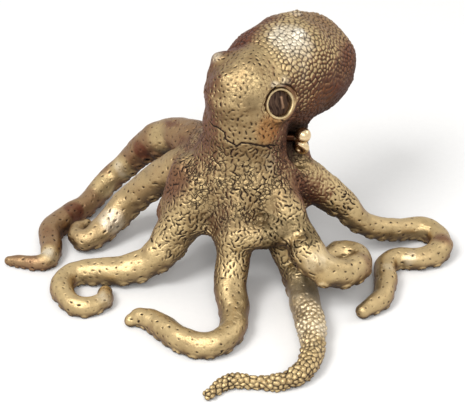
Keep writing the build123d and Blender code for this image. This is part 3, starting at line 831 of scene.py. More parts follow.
def crack_relief(block, out):
    """The open seam that wanders across the front of the neck."""
    x, y, z = np.meshgrid(*block.axes, indexing="ij", sparse=True)
    round_neck = np.arctan2(x - NECK[0], NECK[1] - y) * NECK_RADIUS
    radius = np.hypot(x - NECK[0], y - NECK[1])
    nearest = np.full(block.shape, 1.0, np.float32)
    for (u0, h0), (u1, h1) in zip(CRACK, CRACK[1:]):
        share = ((round_neck - u0) * (u1 - u0) + (z - h0) * (h1 - h0)) / ((u1 - u0) ** 2 + (h1 - h0) ** 2)
        share = np.clip(share, 0, 1)
        away = np.hypot(round_neck - u0 - share * (u1 - u0), z - h0 - share * (h1 - h0))
        np.minimum(nearest, np.where(radius > 4.2, away, 1.0), out=nearest)
    np.maximum(out, CRACK_DEPTH * np.clip(1 - (nearest / CRACK_WIDTH) ** 2, 0, 1), out=out)


def relief_of(block, name):
    """How deep the skin is cut at each point of the block, in mm, and less than 0 where it stands up."""
    cut = np.zeros(block.shape, np.float32)
    stroke_relief(block, strokes, cut)
    if name == "arm_front_right":
        share = 1 - soft_step(-14.0, -9.5, block.axes[1][None, :, None])
        cut = cut * (1 - share) + bead_relief(block) * share * ARM_BEAD_SHARE
    if name != "body":
        sucker_relief(block, cut)
        return cut
    x, y, z = np.meshgrid(*block.axes, indexing="ij", sparse=True)
    back = (x - HEAD[0]) * BAG_WAY[0] + (y - HEAD[1]) * BAG_WAY[1] + (z - HEAD[2]) * BAG_WAY[2]
    share = soft_step(0.6, 2.0, back) * soft_step(16.5, 17.5, z)
    share = share * np.maximum(soft_step(22.5, 23.5, z), soft_step(4.5, 6, back))
    for eye, normal, knob in EYES.values():
        away = np.sqrt((x - eye[0]) ** 2 + (y - eye[1]) ** 2 + (z - eye[2]) ** 2)
        share = share * soft_step(2.5, 3.1, away)
    centre, reach = WRINKLES
    away = np.sqrt((x - centre[0]) ** 2 + (y - centre[1]) ** 2 + (z - centre[2]) ** 2)
    near = 1 - soft_step(0.6, 1.0, away / reach)
    wavy = z + 0.35 * np.sin(1.7 * x + 0.8 * y) + 0.2 * np.sin(3.1 * y)
    folds = FOLD_DEPTH * np.sin(2 * np.pi * wavy / FOLD_SPACING)
    cut += bead_relief(block) * share * (1 - 0.5 * near) + folds * near
    crack_relief(block, cut)
    return cut


def sample(block, field, points):
    """The field's value at each point, between its lattice points."""
    place = points / block.step - block.first
    place = np.clip(place, 0, np.array(block.shape) - 1.001)
    cell = place.astype(int)
    u, v, w = (place - cell).T
    i, j, k = cell.T
    low = (field[i, j, k] * (1 - u) + field[i + 1, j, k] * u) * (1 - v) + (
        field[i, j + 1, k] * (1 - u) + field[i + 1, j + 1, k] * u
    ) * v
    high = (field[i, j, k + 1] * (1 - u) + field[i + 1, j, k + 1] * u) * (1 - v) + (
        field[i, j + 1, k + 1] * (1 - u) + field[i + 1, j + 1, k + 1] * u
    ) * v
    return low * (1 - w) + high * w


skins = {}
for name, (block, gap) in blocks.items():
    relief = relief_of(block, name)
    waves = SWELL * swelling(block, SWELL_SPACING)
    ripples = FINE_SWELL * swelling(block, FINE_SWELL_SPACING)
    gap = gap + relief + waves + ripples
    gap = np.maximum(gap, SOLE_LEVEL - block.axes[2][None, None, :])
    points, quads = skin(block, gap)
    skins[name] = (points, quads, skin_normals(points, quads), sample(block, relief, points))


# Where the tone differs, as patina and as painted light and shade: what it is there, the middle of the
# patch, how far it reaches and how strongly. The pale patches are painted highlights, the deep ones painted
# shade in the hollow behind the siphon and on the lower right of the bag, the bare ones partly worn metal
# and partly painted highlight, and the reddish ones partly patina and partly painted shade.
PATCHES = (
    ("silver", (7.6, 7.6, 31.4), 4.6, 0.85),
    ("silver", (8.6, 4.6, 29.4), 2.6, 0.6),
    ("silver", (12.4, -8.4, 8.6), 2.6, 0.3),
    ("silver", (-1.7, 5.9, 30.8), 1.5, 0.5),
    ("silver", (7.2, 2.0, 29.5), 1.3, 0.5),
    ("silver", (6.0, 0.8, 29.5), 1.0, 0.5),
    ("silver", (9.1, 8.4, 33.2), 1.5, 1.0),
    ("silver", (9.0, 14.3, 33.0), 1.5, 0.5),
    ("silver", (5.0, -1.6, 19.0), 2.2, 0.35),
    ("bare", (-9.2, 14.2, 13.0), 3.0, 0.9),
    ("bare", (-15.4, 17.1, 5.9), 2.6, 1.0),
    ("bare", (-18.2, 16.0, 3.5), 2.4, 0.9),
    ("bare", (-25.0, 1.6, 1.7), 2.0, 0.9),
    ("silver", (-15.4, 17.1, 5.9), 1.8, 0.55),
    ("silver", (-25.0, 1.6, 1.7), 1.5, 0.7),
    ("red", (-12.1, 15.9, 10.1), 2.6, 1.0),
    ("red", (-22.3, 11.1, 2.3), 2.6, 1.0),
    ("silver", (-16.5, 6.6, 4.1), 2.6, 0.6),
    ("silver", (-16.9, -8.0, 1.6), 2.0, 0.5),
    ("silver", (11.4, -8.6, 8.3), 2.2, 0.5),
    ("silver", (21.4, -2.3, 1.9), 1.8, 0.5),
    ("silver", (25.0, 0.5, 2.0), 1.6, 0.45),
    ("red", (29.6, 3.7, 2.2), 2.0, 0.9),
    ("red", (17.7, -5.0, 5.2), 2.0, 0.8),
    ("bare", (26.4, 7.2, 2.2), 2.0, 0.6),
    ("red", (13.5, 8.0, 24.0), 6.5, 0.85),
    ("silver", (10.2, -12.0, 3.4), 5.0, 0.5),
    ("orange", (5.4, -1.0, 23.9), 2.7, 0.5),
    ("orange", (12.5, 4.5, 24.5), 3.5, 0.18),
    ("red", (0.6, 9.6, 31.0), 6.0, 1.1),
    ("red", (4.0, 13.0, 32.0), 4.5, 0.8),
    ("red", (13.0, 15.0, 32.0), 6.0, 0.6),
    ("red", (17.5, 11.0, 27.0), 5.5, 0.9),
    ("red", (13.2, 7.2, 23.6), 5.0, 1.0),
    ("red", (10.0, -0.5, 14.0), 3.6, 0.9),
    ("red", (11.5, -1.5, 10.0), 2.8, 0.8),
    ("red", (-6.5, 2.5, 13.0), 5.0, 0.9),
    ("red", (-9.8, 1.8, 8.6), 3.0, 0.9),
    ("red", (8.0, 1.6, 24.0), 2.4, 0.8),
    ("red", (-2.6, 1.6, 23.4), 2.2, 0.6),
    ("deep", (9.2, 5.0, 19.2), 4.0, 1.0),
    ("deep", (8.6, 3.0, 21.2), 2.2, 1.0),
    ("deep", (8.4, 3.4, 17.0), 1.8, 0.9),
    ("deep", (14.0, 8.0, 21.5), 5.0, 0.72),
    ("deep", (17.5, 13.0, 24.0), 4.5, 0.5),
    ("deep", (-1.6, -3.6, 11.5), 3.2, 0.35),
    ("deep", (5.2, -3.6, 10.5), 3.4, 0.35),
    ("deep", (3.2, -1.2, 28.0), 1.8, 0.35),
)
RED_LIMBS = {"arm_rear_left": 0.66, "arm_left": 0.28, "arm_right": 0.1, "arm_rear_right": 0.45}


def tones_of(name, points, normals, depth):
    """The patina and painted light at each point: how cut, worn and lit, reddish, pale and highlit, orange,
    shaded and veined it is.
    """
    # Faces turned up and to the front are painted lighter: painted light, on top of the worn patches added
    # below.
    toward = normals @ np.array((0.0, -0.5, 0.866))
    tones = {
        "cut": depth,
        "rub": soft_step(-0.05, 0.8, toward),
        "silver": np.zeros(len(points)),
        "orange": np.zeros(len(points)),
        # Faces turned down are painted darker: painted shade under the metal.
        "deep": 1 - soft_step(-0.8, 0.12, normals[:, 2]),
        "vein": np.zeros(len(points)),
        # Faces turned to the left or right are painted reddish brown: painted shade on the flanks.
        "red": soft_step(0.6, 1.0, np.abs(normals[:, 0])) * 0.6,
    }
    if name == "arm_front_right":
        # A stretch of this arm is painted pale and lighter, with its cuts lightened: a painted highlight
        # where the lamp falls on it.
        bright = soft_step(-22.0, -16.0, points[:, 1]) * (1 - soft_step(-9.0, -3.6, points[:, 1]))
        tones["cut"] = depth * (1 - 0.4 * bright)
        tones["silver"] = 0.55 * bright
        tones["rub"] = np.maximum(tones["rub"], 0.8 * bright)
    if name == "body":
        on_bag = soft_step(0.5, 2.0, bag_span(points))
        tones["cut"] = depth * (1 - 0.36 * on_bag)
        out = np.hypot(points[:, 0] - NECK[0], points[:, 1] - NECK[1])
        to_joints = [np.linalg.norm(points - centre, axis=1) for centre, way in JOINTS.values()]
        near_joint = 1 - soft_step(2.9, 6.5, np.min(to_joints, axis=0))
        above_seam = soft_step(20.5, 23.0, points[:, 2])
        skirt = (1 - above_seam) * (1 - soft_step(8.5, 12.0, out)) * (1 - near_joint)
        tones["vein"] = 0.35 * (1 - soft_step(0.0, 1.5, bag_span(points))) * (1 - near_joint)
        tones["vein"] = np.maximum(skirt, tones["vein"])
        face_share = above_seam * (1 - soft_step(0.5, 2.5, bag_span(points)))
        tones["rub"] = tones["rub"] * (1 - 0.4 * skirt - 0.42 * face_share)
        # The crown's flanks, turned to the left or right, are painted reddish brown as painted shade, except
        # near the arm joints.
        flank_red = soft_step(0.35, 0.85, np.abs(normals[:, 0])) * 0.9
        tones["red"] = flank_red + (tones["red"] - flank_red) * near_joint
        # On the bag, the lower right side and the left side are painted reddish brown, and the lower right
        # also darker: painted shade.
        low_right = normals @ np.array((0.7, -0.4, -0.6))
        tones["red"] = np.maximum(tones["red"], 0.95 * on_bag * soft_step(0.1, 0.6, low_right))
        tones["red"] = np.maximum(tones["red"], 0.95 * on_bag * soft_step(0.15, 0.55, -normals[:, 0]))
        tones["deep"] = np.maximum(tones["deep"], 0.62 * on_bag * soft_step(0.4, 0.85, low_right))
    if name in RED_LIMBS:
        tones["red"] = np.maximum(tones["red"], RED_LIMBS[name])
    if name == "body":
        for limb, strength in RED_LIMBS.items():
            line = centre_line(ARM_ROUTES[limb], 0, JOINT_KNOT + 1)
            away = np.full(len(points), 9.0)
            for row in line[6:]:
                away = np.minimum(away, np.linalg.norm(points - row[:3], axis=1) - row[3])
            tones["red"] = np.maximum(tones["red"], strength * (1 - soft_step(0.2, 1.6, away)))
    for label, centre, reach, strength in PATCHES:
        away = np.linalg.norm(points - np.array(centre), axis=1) / reach
        share = strength * (1 - soft_step(0.45, 1.0, away))
        # Bare patches clear the reddish tone and lighten the brass: partly worn metal, partly a painted
        # highlight on the tops of the arms.
        if label == "bare":
            tones["red"] = tones["red"] * (1 - share)
            tones["rub"] = np.maximum(tones["rub"], share)
        else:
            tones[label] = np.maximum(tones[label], share)
    return tones


def new_piece(name, points, faces, tones):
    """A mesh in mm as a piece, with its tones at each point."""
    mesh = bpy.data.meshes.new(name)
    mesh.from_pydata((np.asarray(points) * MM).tolist(), [], faces)
    for label, values in tones.items():
        layer = mesh.attributes.new(label, "FLOAT", "POINT")
        layer.data.foreach_set("value", np.asarray(values, np.float32))
    piece = bpy.data.objects.new(name, mesh)
    bpy.context.scene.collection.objects.link(piece)
    return piece


def cut_at(form, centre, way, radius):
    """Cuts the faces round a joint along its flat, and gives the edges of the cut."""
    centre = np.array(centre) * MM
    near_faces = [
        f for f in form.faces if (f.calc_center_median() - Vector(centre)).length < (radius + 2.2) * MM
    ]
    parts = set(near_faces)
    for f in near_faces:
        parts.update(f.edges)
        parts.update(f.verts)
    result = bmesh.ops.bisect_plane(form, geom=list(parts), dist=1e-7, plane_co=centre, plane_no=tuple(way))
    loose = {e for e in result["geom_cut"] if isinstance(e, bmesh.types.BMEdge)}
    loops = []
    while loose:
        loop, queue = set(), [loose.pop()]
        while queue:
            edge = queue.pop()
            loop.add(edge)
            for vert in edge.verts:
                for other in vert.link_edges:
                    if other in loose:
                        loose.remove(other)
                        queue.append(other)
        loops.append(loop)
    offsets = []
    for loop in loops:
        middle = sum(((e.verts[0].co + e.verts[1].co) / 2 for e in loop), Vector()) / len(loop)
        offsets.append((middle - Vector(centre)).length)
    return loops[offsets.index(min(offsets))]


def keep_joined(form, start, fences):
    """Keeps only the faces that can be reached from the start without crossing a fence."""
    fences = set(fences)
    seen = {start}
    queue = [start]
    while queue:
        face = queue.pop()
        for edge in face.edges:
            if edge in fences:
                continue
            for other in edge.link_faces:
                if other not in seen:
                    seen.add(other)
                    queue.append(other)
    bmesh.ops.delete(form, geom=[f for f in form.faces if f not in seen], context="FACES")


def close_with_fans(form, centres):
    """Closes each open loop with flat faces to the nearest centre, with a crisp edge."""
    hubs = [form.verts.new(tuple(np.array(c) * MM)) for c in centres]
    for edge in [e for e in form.edges if e.is_boundary]:
        loop = edge.link_loops[0]
        a, b = loop.vert, loop.link_loop_next.vert
        middle = (a.co + b.co) / 2
        hub = min(hubs, key=lambda h: (h.co - middle).length)
        edge.smooth = False
        face = form.faces.new((b, a, hub))
        face.smooth = False
    for hub in hubs:
        if not hub.link_faces:
            form.verts.remove(hub)


pieces = {}
for name, (points, quads, normals, depth) in skins.items():
    if name == "body":
        continue
    piece = new_piece(name + "_cast", points, quads.tolist(), tones_of(name, points, normals, depth))
    centre, way = JOINTS[name]
    form = bmesh.new()
    form.from_mesh(piece.data)
    for face in form.faces:
        face.smooth = True
    tip = Vector(np.array(ARM_ROUTES[name][-1][:3]) * MM)
    fences = cut_at(form, centre, way, ARM_ROUTES[name][JOINT_KNOT][3])
    keep_joined(form, min(form.faces, key=lambda f: (f.calc_center_median() - tip).length), fences)
    close_with_fans(form, [centre])
    form.to_mesh(piece.data)
    form.free()
    pieces[name] = piece

points, quads, normals, depth = skins["body"]
body = new_piece("body_cast", points, quads.tolist(), tones_of("body", points, normals, depth))
form = bmesh.new()
form.from_mesh(body.data)
for face in form.faces:
    face.smooth = True
fences = []
for name, (centre, way) in JOINTS.items():
    fences += list(cut_at(form, centre, way, ARM_ROUTES[name][JOINT_KNOT][3]))
bell_top = Vector(np.array((NECK[0], NECK[1] - NECK_RADIUS, 19.0)) * MM)
keep_joined(form, min(form.faces, key=lambda f: (f.calc_center_median() - bell_top).length), fences)
seam = np.array((NECK[0], NECK[1], SEAM_HEIGHT))
near_seam = []
for f in form.faces:
    x, y, z = f.calc_center_median() / MM
    if abs(z - SEAM_HEIGHT) < 0.5 and math.hypot(x - NECK[0], y - NECK[1]) < 6.6:
        near_seam.append(f)
parts = set(near_seam)
for f in near_seam:
    parts.update(f.edges)
    parts.update(f.verts)
bmesh.ops.bisect_plane(form, geom=list(parts), dist=1e-7, plane_co=tuple(seam * MM), plane_no=(0, 0, 1))
faces = list(form.faces)
middles = np.array([f.calc_center_median() for f in faces]) / MM
of_bag = (middles[:, 2] > SEAM_HEIGHT) | (sample(body_block, nearer_bag, middles) < 0)
crown_form = form.copy()
for part_form, name, wanted in ((form, "mantle", True), (crown_form, "crown", False)):
    part_form.faces.ensure_lookup_table()
    unwanted = [f for f, bag_side in zip(part_form.faces, of_bag) if bag_side != wanted]
    bmesh.ops.delete(part_form, geom=unwanted, context="FACES")
    centres = [seam]
    if name == "crown":
        centres += [centre for centre, way in JOINTS.values()]
    close_with_fans(part_form, centres)
    mesh = bpy.data.meshes.new(name + "_cast")
    part_form.to_mesh(mesh)
    part_form.free()
    piece = bpy.data.objects.new(name + "_cast", mesh)
    bpy.context.scene.collection.objects.link(piece)
    pieces[name] = piece
bpy.data.objects.remove(body)


def linear(colour):
    """A six-digit sRGB colour as Blender's linear one."""
    parts = [int(colour[k : k + 2], 16) / 255 for k in (0, 2, 4)]
    return tuple(p / 12.92 if p <= 0.04045 else ((p + 0.055) / 1.055) ** 2.4 for p in parts) + (1.0,)


def node(tree, kind, settings=None, **links):
    """Adds a node, sets its own settings, and sets or links its inputs by name."""
    made = tree.nodes.new(kind)
    for key, value in (settings or {}).items():
        setattr(made, key, value)
    for key, value in links.items():
        numbered = key.startswith("in") and key[2:].isdigit()
        socket = made.inputs[int(key[2:]) if numbered else key.replace("_", " ")]
        if isinstance(value, bpy.types.NodeSocket):
            tree.links.new(value, socket)
        else:
            socket.default_value = value
    return made


def new_material(name):
    """An empty material, and its tree of nodes."""
    material = bpy.data.materials.new(name)
    material.use_nodes = True
    material.node_tree.nodes.clear()
    return material, material.node_tree


# Antique brass, cast from wax, darkened in a brown patina and rubbed back: lighter in random worn patches,
# painted lighter as painted light on faces turned up and to the front, with painted highlights and painted
# shade, dark in every cut, and soft-edged in its shine because the cast grain stays. Sizes in mm.
BRASS_RUBBED_AND_LIT = "c3ab7e"
BRASS_DULL_AND_SHADED = "775e40"
RED_PATINA_AND_SHADE = "714736"
PATINA_AND_PAINTED_SHADE = "23150e"
PALE_BRASS_AND_HIGHLIGHT = "ece3cf"
PATINA_ORANGE = "a8692f"
VEIN = 0.6
MOTTLE = 2.4
SPECK = 0.34
GRAIN = 0.2
VEIN_WARP = 0.9
VEIN_BEND = (0.0007, 0.0007, 0.0007)
CUT_SHOWS = (0.01, 0.12)
TONES = ("cut", "rub", "red", "silver", "orange", "deep", "vein")

casting_brass, tree = new_material("antique_cast_brass")
where = node(tree, "ShaderNodeTexCoord").outputs["Object"]
tone = {
    label: node(tree, "ShaderNodeAttribute", {"attribute_name": label}).outputs["Fac"]
    for label in TONES
}
mottle = node(
    tree, "ShaderNodeTexNoise", Vector=where, Scale=1000 / MOTTLE, Detail=4.0, Roughness=0.6
).outputs["Fac"]
speck = node(
    tree, "ShaderNodeTexNoise", Vector=where, Scale=1000 / SPECK, Detail=3.0, Roughness=0.7
).outputs["Fac"]
grain = node(tree, "ShaderNodeTexNoise", Vector=where, Scale=1000 / GRAIN, Detail=2.0).outputs["Fac"]
shifted = node(
    tree, "ShaderNodeMath", {"operation": "MULTIPLY_ADD"}, in0=mottle, in1=1.9, in2=-0.98
).outputs[0]
# Lighter brass: painted light on faces turned up and to the front, and worn metal in random patches and on
# the eye rings.
rubbed_and_lit = node(
    tree, "ShaderNodeMath", {"operation": "ADD", "use_clamp": True}, in0=tone["rub"], in1=shifted
).outputs[0]
colour = node(
    tree, "ShaderNodeMix", {"data_type": "RGBA"}, in0=rubbed_and_lit,
    in6=linear(BRASS_DULL_AND_SHADED), in7=linear(BRASS_RUBBED_AND_LIT),
).outputs[2]
# Reddish brown: patina, and painted shade on the flanks and the sides of the bag.
red_share = node(
    tree, "ShaderNodeMath", {"operation": "MULTIPLY_ADD", "use_clamp": True},
    in0=shifted, in1=0.9, in2=tone["red"],
).outputs[0]
red_gate = node(
    tree, "ShaderNodeMath", {"operation": "MULTIPLY", "use_clamp": True}, in0=red_share, in1=tone["red"]
).outputs[0]
red_gate = node(tree, "ShaderNodeMath", {"operation": "POWER"}, in0=red_gate, in1=0.6).outputs[0]
colour = node(
    tree, "ShaderNodeMix", {"data_type": "RGBA"}, in0=red_gate, in6=colour, in7=linear(RED_PATINA_AND_SHADE)
).outputs[2]
colour = node(
    tree, "ShaderNodeMix", {"data_type": "RGBA"},
    in0=tone["orange"], in6=colour, in7=linear(PATINA_ORANGE),
).outputs[2]
# Pale brass: painted highlights, and the eye rings' own pale tone.
silver = node(
    tree, "ShaderNodeMath", {"operation": "MULTIPLY_ADD", "use_clamp": True},
    in0=shifted, in1=1.2, in2=tone["silver"],
).outputs[0]
silver = node(
    tree, "ShaderNodeMath", {"operation": "MULTIPLY"}, in0=silver, in1=tone["silver"]
).outputs[0]
colour = node(
    tree, "ShaderNodeMix", {"data_type": "RGBA"}, in0=silver, in6=colour, in7=linear(PALE_BRASS_AND_HIGHLIGHT)
).outputs[2]
in_cut = node(
    tree, "ShaderNodeMapRange", {"interpolation_type": "SMOOTHSTEP"}, Value=tone["cut"],
    From_Min=CUT_SHOWS[0], From_Max=CUT_SHOWS[1],
).outputs[0]
specked = node(
    tree, "ShaderNodeMapRange", {"interpolation_type": "SMOOTHSTEP"}, Value=speck,
    From_Min=0.58, From_Max=0.74, To_Max=0.55,
).outputs[0]
warp = node(tree, "ShaderNodeTexNoise", Vector=where, Scale=1000 / VEIN_WARP, Detail=2.0).outputs["Color"]
bent = node(
    tree, "ShaderNodeVectorMath", {"operation": "MULTIPLY_ADD"},
    in0=warp, in1=VEIN_BEND, in2=where,
).outputs[0]
cells = node(
    tree, "ShaderNodeTexVoronoi", {"feature": "DISTANCE_TO_EDGE"}, Vector=bent, Scale=1000 / VEIN
).outputs["Distance"]
line = node(
    tree, "ShaderNodeMapRange", {"interpolation_type": "SMOOTHSTEP"},
    Value=cells, From_Min=0.03, From_Max=0.13, To_Min=1.0, To_Max=0.0,
).outputs[0]
broken = node(
    tree, "ShaderNodeMapRange", {"interpolation_type": "SMOOTHSTEP"},
    Value=mottle, From_Min=0.42, From_Max=0.56, To_Max=0.9,
).outputs[0]
line = node(tree, "ShaderNodeMath", {"operation": "MULTIPLY"}, in0=line, in1=broken).outputs[0]
line = node(tree, "ShaderNodeMath", {"operation": "MULTIPLY"}, in0=line, in1=tone["vein"]).outputs[0]
# Painted shade under the metal, in the hollow behind the siphon and on the lower right of the bag, mixed
# into the same dark brown as the patina in the cuts, specks and veins.
shade = node(tree, "ShaderNodeMath", {"operation": "MULTIPLY"}, in0=tone["deep"], in1=0.9).outputs[0]
dark = node(tree, "ShaderNodeMath", {"operation": "MAXIMUM"}, in0=in_cut, in1=specked).outputs[0]
dark = node(tree, "ShaderNodeMath", {"operation": "MAXIMUM"}, in0=dark, in1=shade).outputs[0]
dark = node(tree, "ShaderNodeMath", {"operation": "MAXIMUM"}, in0=dark, in1=line).outputs[0]
colour = node(
    tree, "ShaderNodeMix", {"data_type": "RGBA"}, in0=dark, in6=colour, in7=linear(PATINA_AND_PAINTED_SHADE)
).outputs[2]
rough = node(tree, "ShaderNodeMapRange", Value=dark, To_Min=0.36, To_Max=0.62).outputs[0]
rough = node(
    tree, "ShaderNodeMath", {"operation": "MULTIPLY_ADD"}, in0=mottle, in1=0.16, in2=rough
).outputs[0]
height = node(
    tree, "ShaderNodeMath", {"operation": "MULTIPLY_ADD"}, in0=speck, in1=-1.4, in2=grain
).outputs[0]
height = node(
    tree, "ShaderNodeMath", {"operation": "MULTIPLY_ADD"}, in0=line, in1=-2.0, in2=height
).outputs[0]
bump = node(tree, "ShaderNodeBump", Height=height, Strength=0.7, Distance=0.00005).outputs[0]
metal = node(tree, "ShaderNodeMapRange", Value=dark, To_Min=1.0, To_Max=0.7).outputs[0]
shader = node(
    tree, "ShaderNodeBsdfPrincipled", Base_Color=colour, Metallic=metal, Roughness=rough, Normal=bump
).outputs[0]
node(tree, "ShaderNodeOutputMaterial", Surface=shader)

for name, piece in pieces.items():
    piece.data.materials.append(casting_brass)
    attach(piece, "root")
    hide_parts(name)

# Siphon
# A bead and a curled funnel lip, cast on one stem that plugs into the neck. It stands clear of the dark
# hollow round it; its outer faces turned up and to the front are painted light, brightest of all, and the
# rest is painted in shade.
BEAD = np.array((9.85, 3.62, 20.15))
BEAD_RADIUS = 1.08
LIP = np.array((9.6, 3.4, 18.45))
LIP_WAY = np.array((-0.35, -0.82, -0.25)) / np.linalg.norm((-0.35, -0.82, -0.25))
LIP_RADIUS = 0.62
ROLL_RADIUS = 0.56
STEM = np.array(((6.3, 3.83, 19.8, 0.68), (9.6, 3.7, 19.8, 0.68)))
STEM_WEB = 0.3
THROAT_WEB = 0.25
LIP_WEB = 0.16
FINE_STEP = 0.06
BRASS_SHADED = "2f1c12"
BRASS_BURNISHED_LIT = "dcc39a"
SCUFF = 0.5

siphon_block = Block((6.0, 1.4, 16.2), (11.8, 5.8, 22.0), FINE_STEP)
x, y, z = np.meshgrid(*siphon_block.axes, indexing="ij", sparse=True)
siphon_gap = np.sqrt((x - BEAD[0]) ** 2 + (y - BEAD[1]) ** 2 + (z - BEAD[2]) ** 2) - BEAD_RADIUS
stem_gap = siphon_block.limb(STEM)
throat_gap = siphon_block.limb(np.array(((*(BEAD - (0, 0, 0.3)), 0.5), (*LIP, 0.4))))
along = (x - LIP[0]) * LIP_WAY[0] + (y - LIP[1]) * LIP_WAY[1] + (z - LIP[2]) * LIP_WAY[2]
out = np.sqrt(np.maximum((x - LIP[0]) ** 2 + (y - LIP[1]) ** 2 + (z - LIP[2]) ** 2 - along**2, 0))
lip_gap = np.hypot(out - LIP_RADIUS, along) - ROLL_RADIUS
siphon_gap = blend_in(siphon_gap, stem_gap, STEM_WEB)
siphon_gap = blend_in(siphon_gap, throat_gap, THROAT_WEB)
siphon_gap = blend_in(siphon_gap, lip_gap, LIP_WEB)
points, quads = skin(siphon_block, siphon_gap)
normals = skin_normals(points, quads)
# Painted light and shade: outer faces turned up and to the front get the lit colour, the rest the shaded
# one.
shine = soft_step(-0.6, 0.5, normals @ np.array((0.3, -0.7, 0.65))) * soft_step(8.6, 9.3, points[:, 0])
siphon = new_piece("siphon_cast", points, quads.tolist(), {"shine": shine})
for face in siphon.data.polygons:
    face.use_smooth = True

# Burnished brass: the same casting, rubbed until it gives soft mirror lights, with painted light on its lit
# side and painted shade at its back
burnished, tree = new_material("burnished_brass")
where = node(tree, "ShaderNodeTexCoord").outputs["Object"]
shine = node(tree, "ShaderNodeAttribute", {"attribute_name": "shine"}).outputs["Fac"]
scuffs = node(tree, "ShaderNodeTexNoise", Vector=where, Scale=1000 / SCUFF, Detail=3.0).outputs["Fac"]
colour = node(
    tree, "ShaderNodeMix", {"data_type": "RGBA"},
    in0=shine, in6=linear(BRASS_SHADED), in7=linear(BRASS_BURNISHED_LIT),
).outputs[2]
rough = node(tree, "ShaderNodeMapRange", Value=scuffs, To_Min=0.16, To_Max=0.32).outputs[0]
bump = node(tree, "ShaderNodeBump", Height=scuffs, Strength=0.3, Distance=0.00003).outputs[0]
shader = node(
    tree, "ShaderNodeBsdfPrincipled", Base_Color=colour, Metallic=1.0, Roughness=rough, Normal=bump
).outputs[0]
node(tree, "ShaderNodeOutputMaterial", Surface=shader)
siphon.data.materials.append(burnished)
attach(siphon, "root")
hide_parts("siphon")

# Eyes
# A thin raised ring, turned and pressed into its pocket, with a domed disc inside it. The disc is blackened,
# and its upright bar and the crests of its engraved streaks carry a painted highlight.
RING_OUTLINE = (
    (1.72, 0.0),
    (2.06, 0.0),
    (2.1, 0.2),
    (2.1, 0.92),
    (2.04, 1.06),
    (1.94, 1.12),
    (1.8, 1.08),
    (1.72, 0.94),
)
DISC_RADIUS = 1.71
DISC_EDGE = 0.6
DISC_DOME = 0.26
DISC_CIRCLES = 40
AROUND = 96
BAR_PLACE = 0.42
BAR_RISE = 0.1
PUPIL_PLACE = 0.1
PUPIL_DEPTH = 0.09
STREAK_DEPTH = 0.045
EYE_BLACK = "2a1a14"
EYE_GLINT = "8a6c55"
CLOUD = 0.6

# Blackened brass: brown-black in the cuts, with a painted highlight on the bar and the crests of the streaks
blackened, tree = new_material("blackened_brass")
where = node(tree, "ShaderNodeTexCoord").outputs["Object"]
seen = node(tree, "ShaderNodeAttribute", {"attribute_name": "glint"}).outputs["Fac"]
cloud = node(tree, "ShaderNodeTexNoise", Vector=where, Scale=1000 / CLOUD, Detail=3.0).outputs["Fac"]
colour = node(
    tree, "ShaderNodeMix", {"data_type": "RGBA"}, in0=seen, in6=linear(EYE_BLACK), in7=linear(EYE_GLINT)
).outputs[2]
rough = node(tree, "ShaderNodeMapRange", Value=cloud, To_Min=0.3, To_Max=0.5).outputs[0]
bump = node(tree, "ShaderNodeBump", Height=cloud, Strength=0.4, Distance=0.00003).outputs[0]
shader = node(
    tree, "ShaderNodeBsdfPrincipled", Base_Color=colour, Metallic=0.8, Roughness=rough, Normal=bump
).outputs[0]
node(tree, "ShaderNodeOutputMaterial", Surface=shader)

